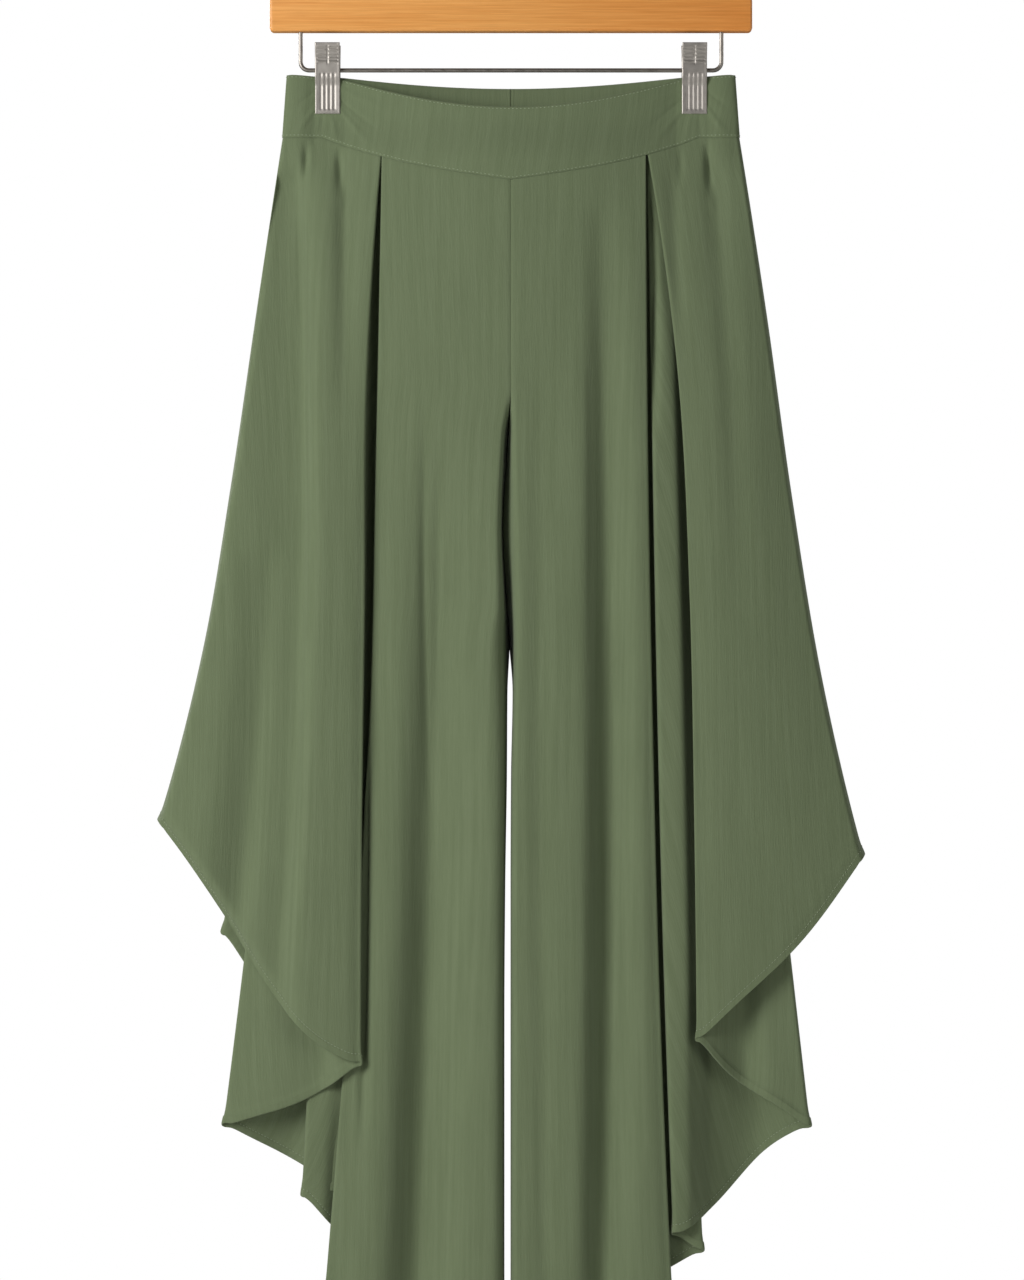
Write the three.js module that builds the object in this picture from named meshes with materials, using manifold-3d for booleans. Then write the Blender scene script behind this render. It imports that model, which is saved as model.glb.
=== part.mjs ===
// Wide-leg trousers with waterfall side drapes, hung by the waistband from a wooden clip hanger.
//
// Millimetres, +Z up. The front faces -Y, and right and left are the wearer's, so right is at -X.
// The origin is where the rail carries the hook. Heights on the cloth are written as drops below the
// top of the waistband, distances from the centre line as "out", and distances from the plane that
// halves the garment from front to back as "depth", towards the front on a front piece.
//
// Each leg is one long cloth that is folded like an accordion at the side: the leg panel turns back at
// its edge into a pleat, and then falls in folds that grow from the waist seam to the hem. The hem
// climbs from the leg panel to the side, so that each fold shows as a step.

import * as THREE from 'three';
import { mergeVertices } from 'three/addons/utils/BufferGeometryUtils.js';
import Module from 'manifold-3d';

const wasm = await Module();
wasm.setup();

// ---- Driving dimensions ----------------------------------------------------------------------

const CLOTH = 1.2;              // wall of the crepe, as folded and hemmed
const BAND_CLOTH = 2.0;         // wall of the faced and fused waistband
const SEAM_GAP = 0.3;           // between two pieces at a seam
const HALF_GAP = SEAM_GAP / 2;

const WAIST_TOP_Z = -136;       // top of the waistband at the side
const BAND_SIDE_DROP = 55;      // height of the waistband at the side
const SIDE_OUT_TOP = 197.5;     // side edge at the top of the waistband
const SIDE_OUT_SEAM = 201.5;    // side edge at the waist seam
const FRONT_DIP = 30.2;         // how far the top edge dips at the centre
const BACK_DIP = 9.5;
const DIP_HALF_WIDTH = 160;
const FRONT_POINT_DROP = 94.2;  // the pointed lower edge of the front waistband
const BACK_CURVE_DROP = 76;     // the rounded lower edge of the back waistband
const LEVEL_OUT = 166;          // beyond this the waist seam runs level
const SIDE_ROUND = 4;           // how wide the cloth turns at the side
const SIDE_ROUND_LOW = 6;       // the same low down on the legs

const PINCH = 1.15;             // depth of the band's middle where a clip holds it
const BULGE = 17;               // how far the band stands open at the centre, front and back
const BULGE_HALF_WIDTH = 146;
const LOBE = 2.2;               // the small loop of band outside each clip
const LET_GO = 6.5;             // how far the cloth opens below a clip
const LET_GO_DROP = 40;         // over this height
const LAYER_PITCH = 1.8;        // between two folded layers where they meet the waist seam
const FILL_DROP = 380;          // drop over which the folds reach their full depth
const FOLD_ROUND = 2.6;         // how wide a fold turns, along the cloth

const FORK_TOP_DROP = 275;      // where the two front panels begin to part
const FORK_OPEN_DROP = 330;
const CROTCH_DROP = 500;        // the lowest point of the crotch seam, at the back
const CROTCH_TURN = 55;         // over this height each side of it the back panels turn under
const CROTCH_SHARE = 0.4;       // its share of the inner boundary's length
const INSEAM_HEM = 1095;        // drop of the hem at the inseam

const BAR_LENGTH = 426;
const BAR_HEIGHT = 30;
const BAR_DEPTH = 14;
const BAR_EDGE = 2;             // rounding of the bar's long edges
const BAR_CORNER = 4;
const BAR_TOP_Z = -67.8;
const WIRE_RADIUS = 1.9;
const WIRE_OUT = 186;
const WIRE_Z = -131.4;          // axis of the wire that the clips slide on
const WIRE_BEND = 7.5;
const WIRE_SEAT = 12;           // how far the wire's ends go into the bar
const HOOK_RADIUS = 2;
const HOOK_INNER = 20;
const STEM_SEAT = 15;
const CLIP_OUT = 162;
const CLIP_WIDTH = 22;
const CLIP_TOP_DROP = -28;
const CLIP_FOOT_DROP = 34;
const CLIP_PLATE = 1;
const COIL_WALL = 0.9;
const CLIP_JAW_DEPTH = PINCH + BAND_CLOTH / 2 + SEAM_GAP;   // inner face of a jaw on the band
const CLIP_PIVOT_DEPTH = 5.5;
const CLIP_TAIL_DEPTH = 9.5;

const SIDES = { right: -1, left: 1 };
const FACES = { front: -1, back: 1 };

// ---- Tables ------------------------------------------------------------------------------------

/** Rows of values as objects, by the names of their columns. */
function table(columns, rows) {
  return rows.map((row) => Object.fromEntries(row.map((value, i) => [columns[i], value])));
}

// The folds of each face of each leg, a row for each, in order from the leg panel to the side.
// out: the fold line at the seam, at each quarter of its length, and at the hem
// hem: its drop at the hem
// near, far: depth of the cloth between the fold before and this one, low down, at its two ends
// bend: above one where that depth changes late
// rank: how many layers lie outside that cloth at the waist seam
// bow, swing: how the hem sags and snakes between the two folds
// strips: strips of cloth between the two folds
const FOLD_COLUMNS = ['name', 'out', 'hem', 'near', 'far', 'bend', 'rank', 'bow', 'swing', 'strips'];
const FOLDS = {
  front_right: table(FOLD_COLUMNS, [
    ['panel_edge', [113.5, 118.3, 124.6, 143.5, 164], 1080, 26, 21, 1, 0, 3, 0, 9],
    ['pleat_root', [103, 106, 111, 121, 130], 1046, 15, 15, 1, 1, 0, 0, 1],
    ['low_outer', [128, 149, 161, 172.5, 184], 988, 10, 11, 1, 2, 0, 0, 2],
    ['low_inner', [116, 125, 131, 139, 146], 984, 6.5, 6.5, 1, 3, 0, 0, 1],
    ['high_outer', [137, 180, 205, 227, 253.2], 926.6, 3, 8.5, 1, 4, 1, 0, 3],
    ['high_inner', [114.6, 126.7, 128.6, 131.2, 132], 871, 12.5, 25, 1, 1, 9.5, -2, 3],
    ['side', [201.5, 224.3, 246.4, 272.1, 310.8], 660, 29, 20, 3, 0, 28, 8, 7],
  ]),
  front_left: table(FOLD_COLUMNS, [
    ['panel_edge', [118.6, 120, 124.4, 131, 141.8], 1082, 26, 24, 1, 0, 3, 0, 9],
    ['pleat_root', [107, 107, 108, 110, 112], 1068, 18, 18, 1, 1, 0, 0, 1],
    ['low_outer', [129, 145, 154, 161, 168.7], 1038, 4, 4, 1, 4, 0, 0, 2],
    ['low_inner', [119.8, 124.2, 128.7, 134.5, 142.8], 1021.7, 9.5, 9.5, 1, 3, 0, 0, 1],
    ['high_outer', [137, 186, 214, 239, 263.6], 928.4, 20, 3, 1, 2, 0, 5.5, 3],
    ['high_inner', [120.8, 146.9, 157, 161, 163.2], 849.6, 12, 27, 2.2, 1, 8, -3.5, 3],
    ['side', [201.5, 226, 248, 274.2, 311], 690, 30, 18, 2.6, 0, 13, -3.5, 7],
  ]),
  back_right: table(FOLD_COLUMNS, [
    ['panel_edge', [116, 119, 125, 140, 158], 1078, 26, 20, 1, 0, 3, 0, 8],
    ['pleat_root', [105, 107, 110, 116, 122], 1046, 15, 15, 1, 1, 0, 0, 1],
    ['low_outer', [129, 144, 153, 162, 172], 985, 10, 11, 1, 2, 0, 0, 2],
    ['low_inner', [118, 123, 127, 133, 140], 930, 6.5, 6.5, 1, 3, 0, 0, 1],
    ['high_outer', [137, 176, 201, 229, 255.6], 758.6, 3, 8.5, 1, 4, 0, 0, 3],
    ['high_inner', [119.5, 148, 166, 184, 208], 706, 12.5, 23, 1, 1, 4, 0, 2],
    ['side', [201.5, 224.3, 246.4, 272.1, 310.8], 660, 28, 18, 2.6, 0, 3, 0, 5],
  ]),
  back_left: table(FOLD_COLUMNS, [
    ['panel_edge', [116, 119, 123, 129, 139], 1080, 25, 22, 1, 0, 3, 0, 8],
    ['pleat_root', [105, 106, 107, 109, 111], 1054, 17, 17, 1, 1, 0, 0, 1],
    ['low_outer', [129, 141, 148, 154, 160], 1000, 5, 5, 1, 4, 0, 0, 2],
    ['low_inner', [118, 121, 125, 130, 136], 942, 11, 11, 1, 3, 0, 0, 1],
    ['high_outer', [137, 172, 196, 217, 238], 762, 17, 8, 1, 2, 0, 0, 3],
    ['high_inner', [119.5, 146, 162, 178, 196], 728, 12, 23, 1, 1, 3, 0, 2],
    ['side', [201.5, 226, 248, 274.2, 311], 690, 28, 18, 2.6, 0, 3, 0, 5],
  ]),
};

// Where a leg panel's inner edge lies at each drop: edge is the edge that shows, round how wide it
// turns away from there, and seam and seamDepth the seam behind it.
const INNER_COLUMN_NAMES = ['drop', 'edge', 'round', 'seam', 'seamDepth'];
const INNER_EDGE = {
  right: table(INNER_COLUMN_NAMES, [
    [94, 0, 12, 0, 18],
    [275, 0, 12, 0, 24],
    [323, 6.2, 12, 3, 4],
    [400, 9, 13, 7.5, 5],
    [468, 5.5, 13, 4, -6],
    [500, 4, 13, 1.6, -23.9],
    [545, 3.5, 13, 3.5, -12],
    [620, 4, 13, 4, -3],
    [720, 5.5, 13, 5.5, 0],
    [830, 6.2, 13, 6.2, 0],
    [1100, 6.2, 13, 6.2, 0],
  ]),
  left: table(INNER_COLUMN_NAMES, [
    [94, 0, 6, 0, 18],
    [275, 0, 6, 0, 24],
    [323, -0.2, 6, -3, 4],
    [400, 1.5, 6, -7.5, 5],
    [468, 2, 6, -4, -6],
    [500, 2.2, 6, -1.6, -23.9],
    [545, 1.8, 6, 1.8, -12],
    [620, 0.4, 6, 0.4, -3],
    [720, 0, 6, 0, 0],
    [830, 0, 6, 0, 0],
    [1100, 0, 6, 0, 0],
  ]),
};

// Soft folds that run down the cloth that ends at a fold.
// on: that fold
// run: the drops of its two ends
// out: where it lies, at three places down its run
// widths: how wide it is towards the centre line and towards the side
// rise: how far it stands out, or lies in where that is negative, at the three places
const WAVE_COLUMNS = ['name', 'on', 'run', 'out', 'widths', 'rise'];
const WAVES = {
  front_right: table(WAVE_COLUMNS, [
    ['panel_valley', 'panel_edge', [300, 1095], [60, 70, 86], [30, 20], [0, -20, -25]],
    ['panel_ridge', 'panel_edge', [300, 1095], [46, 49, 50], [18, 18], [1, 1.8, 2]],
    ['panel_roll', 'panel_edge', [200, 1080], [118, 128, 164], [16, 30], [-1, -3, -3]],
    ['under_valley', 'high_inner', [650, 915], [170, 168, 166], [20, 30], [0, -4, -6]],
    ['apron_valley', 'side', [85, 760], [180, 212, 238], [20, 18], [-5, -6, -8]],
    ['apron_ridge', 'side', [90, 870], [163, 174, 186], [40, 18], [2.5, 4, 4]],
    ['apron_roll', 'side', [150, 871], [110, 120, 123], [12, 12], [-1, -6, -7]],
  ]),
  front_left: table(WAVE_COLUMNS, [
    ['panel_valley', 'panel_edge', [120, 1095], [80, 83.5, 78], [14, 20], [-1, -18, -17]],
    ['inner_valley', 'panel_edge', [280, 1095], [24, 25, 30], [9, 11], [-0.6, -2, -1.5]],
    ['panel_roll', 'panel_edge', [140, 1080], [128, 134, 151], [13, 30], [-2, -7, -8]],
    ['lower_roll', 'high_outer', [200, 950], [151, 169, 177], [8, 70], [-1, -7, -7]],
    ['under_valley', 'high_inner', [600, 915], [214, 218, 222], [32, 18], [0, -6, -8]],
    ['apron_valley', 'side', [82, 620], [180, 196, 214], [14, 14], [-5, -1.8, 0]],
  ]),
  back_right: table(WAVE_COLUMNS, [
    ['panel_valley', 'panel_edge', [260, 1095], [62, 67, 74], [20, 15], [0, -8, -12]],
    ['seat_ridge', 'panel_edge', [110, 700], [88, 92, 96], [16, 16], [2, 2.5, 3]],
    ['panel_roll', 'panel_edge', [200, 1080], [116, 125, 158], [16, 30], [-1, -3, -3]],
    ['apron_valley', 'side', [90, 700], [170, 202, 236], [14, 14], [-3, -4, -5]],
    ['apron_ridge', 'side', [90, 700], [158, 176, 196], [20, 14], [1, 2.5, 3]],
  ]),
  back_left: table(WAVE_COLUMNS, [
    ['panel_valley', 'panel_edge', [220, 1095], [70, 68, 66], [14, 20], [0, -8, -12]],
    ['panel_ridge', 'panel_edge', [400, 1095], [30, 32, 34], [13, 13], [0, 1.8, 3]],
    ['panel_roll', 'panel_edge', [200, 1080], [116, 123, 139], [16, 30], [-1, -3, -3]],
    ['apron_valley', 'side', [90, 700], [181, 212, 244], [14, 14], [-3, -4, -5]],
    ['apron_ridge', 'side', [90, 700], [164, 184, 204], [18, 14], [1, 2, 3]],
  ]),
};

// Rows of cloth from the waist seam to the hem, as shares of its length.
const LEG_ROWS = [0, 0.04, 0.1, 0.18, 0.235, 0.29, 0.345, 0.405, 0.46, 0.53, 0.62, 0.72, 0.82, 0.92, 1];
const BAND_ROWS = [0, 0.3, 0.62, 0.82, 1];
// Places across the strip that turns away at a leg panel's inner edge, as shares of its width.
const INNER_COLUMNS = [0, 0.28, 0.52, 0.72, 0.88];
// Places round a fold and round the side, in degrees.
const TURN_ANGLES = [-45, 0, 45];
const SIDE_ANGLES = [-60, -30, 0];

// ---- Small helpers -----------------------------------------------------------------------------

const { lerp, clamp, smoothstep, degToRad } = THREE.MathUtils;

/** The height of a drop below the top of the waistband. */
const zOf = (drop) => WAIST_TOP_Z - drop;

/** The value that carries a row of values on beyond its end with the same bend. */
const beyond = (last, before, earlier) => 3 * last - 3 * before + earlier;

/** A value that a smooth line through evenly spaced stations has at a share of its length. */
function along(stations, share) {
  const [first, second, third] = stations;
  const [last, before, earlier] = [...stations].reverse();
  const values = [beyond(first, second, third), ...stations, beyond(last, before, earlier)];
  const line = new THREE.SplineCurve(values.map((value, i) => new THREE.Vector2(i, value)));
  return line.getPoint((1 + share * (stations.length - 1)) / (values.length - 1)).y;
}

/** A column of a table at a drop, straight between its rows. */
function atDrop(rows, drop, column) {
  const next = rows.findIndex((row) => row.drop > drop);
  if (next === 0) return rows[0][column];
  if (next < 0) return rows.at(-1)[column];
  const before = rows[next - 1];
  return lerp(before[column], rows[next][column], (drop - before.drop) / (rows[next].drop - before.drop));
}

/** A bell of height one and the given width, at a distance from its middle. */
const bell = (distance, width) => Math.exp(-((distance / width) ** 2));

/** The mirror image of a point across the plane where one coordinate is zero. */
function mirrored(point, coordinate) {
  const image = point.clone();
  image[coordinate] = -image[coordinate];
  return image;
}

/** The mesh of a geometry with a finish, under the name of its piece. */
function piece(name, geometry, material) {
  const mesh = new THREE.Mesh(geometry, material);
  mesh.name = name;
  return mesh;
}

// ---- Waistband ---------------------------------------------------------------------------------

/** Drop of the waistband's top edge. */
function bandTop(out, face) {
  const dip = face === 'front' ? FRONT_DIP : BACK_DIP;
  const share = Math.max(0, 1 - (out / DIP_HALF_WIDTH) ** 2);
  return 1.5 * smoothstep(SIDE_OUT_TOP - out, 0, 30) + (dip - 1.5) * share ** 1.2;
}

/** Drop of the waist seam: a point at the centre in front, a curve behind, and level at the sides. */
function seamDrop(out, face) {
  const reach = Math.min(Math.abs(out), LEVEL_OUT) / LEVEL_OUT;
  if (face === 'back') return lerp(BACK_CURVE_DROP, BAND_SIDE_DROP, reach ** 2);
  return Math.max(BAND_SIDE_DROP, FRONT_POINT_DROP - 23.2 * reach - 16 * reach ** 2.9);
}

/** Depth of the waistband's middle: shut at the clips, open between them and in the loops outside. */
function bandDepth(out, drop) {
  const reach = Math.abs(out);
  const open = BULGE * Math.max(0, 1 - (reach / BULGE_HALF_WIDTH) ** 2);
  const loopStart = CLIP_OUT + CLIP_WIDTH / 2 + 1;
  const loop = LOBE * Math.sin(Math.PI * clamp((reach - loopStart) / (SIDE_OUT_SEAM - loopStart), 0, 1));
  const released = LET_GO * smoothstep(drop, CLIP_FOOT_DROP + 3, CLIP_FOOT_DROP + 3 + LET_GO_DROP);
  return PINCH + open + loop + released;
}

/** The point of a waistband at a share of its height and at a share of its half width. */
function bandPoint(reach, share, face) {
  const edge = lerp(SIDE_OUT_TOP, SIDE_OUT_SEAM, share);
  const out = reach * edge;
  const drop = lerp(bandTop(out, face), seamDrop(out, face), share);
  const turned = clamp((Math.abs(out) - edge + SIDE_ROUND) / SIDE_ROUND, 0, 1);
  const depth = bandDepth(out, drop) * Math.sqrt(1 - turned ** 2);
  return new THREE.Vector3(out, FACES[face] * Math.max(depth, HALF_GAP), zOf(drop));
}

/** Shares of the half width where the waistband has a column, closer together where it turns. */
function bandReaches() {
  const flat = [0, 0.12, 0.24, 0.36, 0.48, 0.59, 0.69, 0.745, 0.775];
  return [...flat, LEVEL_OUT / SIDE_OUT_SEAM, 0.865, 0.9, 0.94, 0.97, 0.98, 0.99, 0.997, 1];
}

/** One piece of the waistband, from side to side, or from the centre to one side. */
function waistband(face, sides) {
  const reaches = bandReaches();
  const centre = HALF_GAP / SIDE_OUT_TOP;
  const half = (side) => [centre, ...reaches.slice(1)].map((reach) => side * reach);
  const rows = BAND_ROWS.map((share) => {
    const toPoints = (spread) => spread.map((reach) => bandPoint(reach, share, face));
    if (sides.length === 1) {
      const points = toPoints(half(sides[0]));
      return [mirrored(points[1], 'x'), ...points, mirrored(points.at(-2), 'y')];
    }
    const points = toPoints([...half(-1).slice(1).reverse(), 0, ...half(1).slice(1)]);
    return [mirrored(points[1], 'y'), ...points, mirrored(points.at(-2), 'y')];
  });
  return wall(rows, BAND_CLOTH);
}

// ---- Leg cloth ---------------------------------------------------------------------------------

/** How far the soft folds of the cloth that ends at a fold push it out at a place. */
function waveRise(leg, fold, out, drop) {
  const waves = WAVES[leg.key].filter((wave) => wave.on === fold.name);
  return waves.reduce((sum, wave) => {
    const [top, low] = wave.run;
    const share = clamp((drop - top) / (low - top), 0, 1);
    const off = out - along(wave.out, share);
    const width = off < 0 ? wave.widths[0] : wave.widths[1];
    return sum + smoothstep(drop, top - 60, top) * along(wave.rise, share) * bell(off, width);
  }, 0);
}

/** Depth of the cloth that ends at a fold, at a share of its width, where it lies at that place. */
function layerDepth(leg, fold, share, out, drop) {
  const seam = seamDrop(out, leg.face);
  const held = Math.min(Math.abs(out), SIDE_OUT_SEAM - SIDE_ROUND);
  const atSeam = bandDepth(held, seam) - fold.rank * LAYER_PITCH;
  const filled = 1 - (1 - clamp((drop - seam) / FILL_DROP, 0, 1)) ** 2;
  const low = lerp(fold.near, fold.far, share ** fold.bend);
  return lerp(atSeam, low, filled) + waveRise(leg, fold, out, drop) * smoothstep(drop, seam, seam + 60);
}

/** Where a fold line is at a share of its length. */
function foldLine(leg, fold, share) {
  const top = seamDrop(fold.out[0], leg.face) + SEAM_GAP;
  return { out: along(fold.out, share), drop: lerp(top, fold.hem, share), top, topOut: fold.out[0] };
}

/** Where a leg panel's inner boundary is at a share of its length, level with its other face's. */
function innerDrop(leg, share) {
  const point = seamDrop(0, 'front') + SEAM_GAP;
  const raised = point - seamDrop(0, leg.face) - SEAM_GAP;
  return lerp(point, INSEAM_HEM, share) - raised * Math.max(0, 1 - share / CROTCH_SHARE);
}

/** How much lower the waist seam runs at a place than a straight line between two others. */
function seamSag(leg, topOut, straight, share) {
  return (seamDrop(topOut, leg.face) + SEAM_GAP - straight) * (1 - share) ** 3;
}

/** How far a leg panel has turned away from its face at a drop of its inner boundary. */
function openedAt(leg, level) {
  if (leg.face === 'front') return smoothstep(level, FORK_TOP_DROP, FORK_OPEN_DROP);
  return smoothstep(level, CROTCH_DROP - CROTCH_TURN, CROTCH_DROP + CROTCH_TURN);
}

/** The curve from the seam between the legs round to the flat of a leg panel, as out and depth. */
function innerTurn(leg, level, edge, depthAt) {
  const front = leg.face === 'front';
  const rows = INNER_EDGE[leg.side];
  const [seam, seamDepth] = ['seam', 'seamDepth'].map((column) => atDrop(rows, level, column));
  const joined = level < CROTCH_DROP + 1;
  const beside = joined ? HALF_GAP + (CLOTH / 2) * Math.sin((edge.opened * Math.PI) / 2) : 0;
  const seamOut = (joined && !front ? 0 : seam) + beside;
  const seamY = (front ? 1 : -1) * seamDepth + HALF_GAP;
  return new THREE.CubicBezierCurve(
    new THREE.Vector2(seamOut, seamY),
    new THREE.Vector2(Math.max(edge.out + 0.5, seamOut), lerp(seamY, depthAt(edge.out), 0.45)),
    new THREE.Vector2(edge.out - 0.6, depthAt(edge.out)),
    new THREE.Vector2(edge.out + edge.round, depthAt(edge.out + edge.round)),
  );
}

/** The strip of a leg panel that turns away from its face to the seam between the legs. */
function innerStrip(leg, panel, share) {
  const level = innerDrop(leg, share);
  const opened = openedAt(leg, level);
  const rows = INNER_EDGE[leg.side];
  const [shown, round] = ['edge', 'round'].map((column) => atDrop(rows, level, column));
  const edge = { out: leg.face === 'front' ? shown : shown * opened, round, opened };
  const depthAt = (out) => layerDepth(leg, panel, 0, out, level);
  const turn = innerTurn(leg, level, edge, depthAt);
  const straight = seamDrop(0, leg.face) + SEAM_GAP;
  const points = INNER_COLUMNS.map((column) => {
    const flatOut = Math.max(HALF_GAP, edge.out + column * round);
    const bent = turn.getPoint(column);
    return {
      out: lerp(flatOut, bent.x, opened),
      depth: lerp(depthAt(flatOut), bent.y, opened),
      drop: level + seamSag(leg, column * round, straight, share),
      layer: 0,
    };
  });
  const [next, quarter] = [points[1], (opened * Math.PI) / 2];
  const guide = { ...next, out: next.out - Math.cos(quarter), depth: next.depth - Math.sin(quarter) };
  const top = seamDrop(round, leg.face) + SEAM_GAP;
  const drop = level + (top - straight) * (1 - share) ** 3;
  return { points: [guide, ...points], end: { out: edge.out + round, drop, top, topOut: round } };
}

/** Points round a fold, from the end of one layer to the start of the next. */
function foldTurn(end, reach, fromDepth, toDepth, drop, angles, layerOf) {
  return angles.map((angle) => ({
    out: end + reach * Math.cos(degToRad(angle)),
    drop,
    depth: lerp(fromDepth, toDepth, (1 + Math.sin(degToRad(angle))) / 2),
    layer: layerOf(angle),
  }));
}

/** How wide the cloth turns at a fold, at a share of its length. */
function roundAt(isSide, share) {
  if (isSide) return lerp(SIDE_ROUND, SIDE_ROUND_LOW, smoothstep(share, 0, 0.3));
  return FOLD_ROUND * smoothstep(share, -0.25, 0.35);
}

/** The cloth between the end of one fold and the start of the next, at a share of its length. */
function layerPoints(leg, layer, share, start, line) {
  const fold = FOLDS[leg.key][layer];
  const points = [];
  for (let strip = 0; strip <= fold.strips; strip += 1) {
    const across = strip / fold.strips;
    const hemSag = fold.bow * Math.sin(Math.PI * across) + fold.swing * Math.sin(2 * Math.PI * across);
    const topOut = lerp(start.topOut, line.topEnd, across);
    const sag = hemSag * share ** 3 + seamSag(leg, topOut, lerp(start.top, line.top, across), share);
    const out = lerp(start.out, line.end, across);
    const drop = lerp(start.drop, line.drop, across) + sag;
    points.push({ out, drop, depth: layerDepth(leg, fold, across, out, drop), layer });
  }
  return points;
}

/** The quarter turn at the side, with a guide beyond it. */
function sideTurn(line, round, depth, layer) {
  const points = SIDE_ANGLES.map((angle) => ({
    out: line.end + round * Math.cos(degToRad(angle)),
    drop: line.drop,
    depth: lerp(depth, HALF_GAP, 1 + Math.sin(degToRad(angle))),
    layer,
  }));
  return [...points, { ...points.at(-2), depth: -points.at(-2).depth }];
}

/** The cloth of one face of a leg at a share of its length, from the inner seam to the side. */
function legSection(leg, share) {
  const folds = FOLDS[leg.key];
  const strip = innerStrip(leg, folds[0], share);
  const points = [...strip.points];
  let start = strip.end;
  folds.forEach((fold, layer) => {
    const line = foldLine(leg, fold, share);
    const isSide = layer === folds.length - 1;
    const heading = Math.sign(line.out - start.out) || 1;
    const round = roundAt(isSide, share);
    line.end = line.out - heading * round;
    line.topEnd = line.topOut - Math.sign(line.topOut - start.topOut) * roundAt(isSide, 0);
    points.push(...layerPoints(leg, layer, share, start, line));
    const { depth } = points.at(-1);
    if (isSide) {
      points.push(...sideTurn(line, round, depth, layer));
    } else {
      const nextDepth = layerDepth(leg, folds[layer + 1], 0, line.end, line.drop);
      const layerOf = (angle) => (angle < 0 ? layer : layer + 1);
      points.push(...foldTurn(line.end, heading * round, depth, nextDepth, line.drop, TURN_ANGLES, layerOf));
    }
    start = { ...line, out: line.end, topOut: line.topEnd };
  });
  return points.map((point) => ({
    at: new THREE.Vector3(leg.sign * point.out, FACES[leg.face] * point.depth, zOf(point.drop)),
    layer: point.layer,
  }));
}

/** The rows of a leg panel, which ends inside its pleat, or of the drape beyond it, with a guide each end. */
function legRows(leg, part) {
  return LEG_ROWS.map((share) => {
    const section = legSection(leg, share);
    const first = section.findIndex((point) => point.layer === 2);
    const points = section.map((point) => point.at);
    if (part === 'panel') return points.slice(0, first + 1);
    const step = points[first].clone().sub(points[first - 1]).setLength(SEAM_GAP);
    return [points[first - 1], points[first - 1].clone().add(step), ...points.slice(first)];
  });
}

/**
 * A closed wall round a grid of middle points, thickened level with the floor. Each row begins and ends
 * with a guide point, which only shows which way the wall runs at its edge.
 */
function wall(rows, thickness) {
  const positions = [];
  rows.forEach((row) => row.slice(1, -1).forEach((point, column) => {
    const [behind, ahead] = [row[column], row[column + 2]];
    const across = new THREE.Vector3(ahead.y - behind.y, behind.x - ahead.x, 0).setLength(thickness / 2);
    positions.push(...point.clone().add(across).toArray(), ...point.clone().sub(across).toArray());
  }));
  const index = [];
  const columns = rows[0].length - 2;
  const [lastRow, lastColumn] = [rows.length - 1, columns - 1];
  const outer = (row, column) => 2 * (row * columns + column);
  const quad = (a, b, c, d) => index.push(a, b, c, a, c, d);
  for (let row = 0; row < lastRow; row += 1) {
    for (let column = 0; column < lastColumn; column += 1) {
      const [near, far] = [outer(row, column), outer(row + 1, column)];
      quad(near, far, far + 2, near + 2);
      quad(far + 3, far + 1, near + 1, near + 3);
    }
    quad(outer(row, 0), outer(row, 0) + 1, outer(row + 1, 0) + 1, outer(row + 1, 0));
    const [near, far] = [outer(row, lastColumn), outer(row + 1, lastColumn)];
    quad(near + 1, near, far, far + 1);
  }
  for (let column = 0; column < lastColumn; column += 1) {
    const [top, low] = [outer(0, column), outer(lastRow, column)];
    quad(top, top + 2, top + 3, top + 1);
    quad(low + 2, low, low + 1, low + 3);
  }
  const geometry = new THREE.BufferGeometry();
  geometry.setAttribute('position', new THREE.Float32BufferAttribute(positions, 3));
  geometry.setIndex(signedVolume(positions, index) < 0 ? index.reverse() : index);
  geometry.computeVertexNormals();
  return geometry;
}

/** Six times the volume that triangles enclose, negative where they face inwards. */
function signedVolume(positions, index) {
  const corner = (i) => new THREE.Vector3().fromArray(positions, 3 * i);
  let volume = 0;
  for (let i = 0; i < index.length; i += 3) {
    volume += corner(index[i]).dot(corner(index[i + 1]).cross(corner(index[i + 2])));
  }
  return volume;
}

// ---- Hanger ------------------------------------------------------------------------------------

/** A path through points, with a step at each of them. */
class Route extends THREE.Curve {
  constructor(points) {
    super();
    this.points = points;
  }

  getPoint(share) {
    const place = clamp(share, 0, 1) * (this.points.length - 1);
    const before = Math.min(Math.floor(place), this.points.length - 2);
    return this.points[before].clone().lerp(this.points[before + 1], place - before);
  }

  getPointAt(share) {
    return this.getPoint(share);
  }

  getSpacedPoints() {
    return this.points.map((point) => point.clone());
  }

  getTangentAt(share) {
    const at = Math.round(share * (this.points.length - 1));
    const ahead = this.points[Math.min(at + 1, this.points.length - 1)];
    const behind = this.points[Math.max(at - 1, 0)];
    return ahead.clone().sub(behind).normalize();
  }
}

/** Points on a level-front arc round a centre, from one angle to another. */
function arc(x, z, radius, from, to, steps) {
  return Array.from({ length: steps + 1 }, (_, i) => {
    const angle = degToRad(lerp(from, to, i / steps));
    return new THREE.Vector3(x + radius * Math.cos(angle), 0, z + radius * Math.sin(angle));
  });
}

/** A round rod along points. */
function rod(points, radius, sides) {
  const section = new THREE.Shape();
  for (let i = 0; i < sides; i += 1) {
    const angle = (2 * Math.PI * (i + 0.5)) / sides;
    const [x, y] = [radius * Math.cos(angle), radius * Math.sin(angle)];
    if (i === 0) section.moveTo(x, y);
    else section.lineTo(x, y);
  }
  section.closePath();
  const steps = points.length - 1;
  return new THREE.ExtrudeGeometry(section, { steps, extrudePath: new Route(points), curveSegments: 1 });
}

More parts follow.
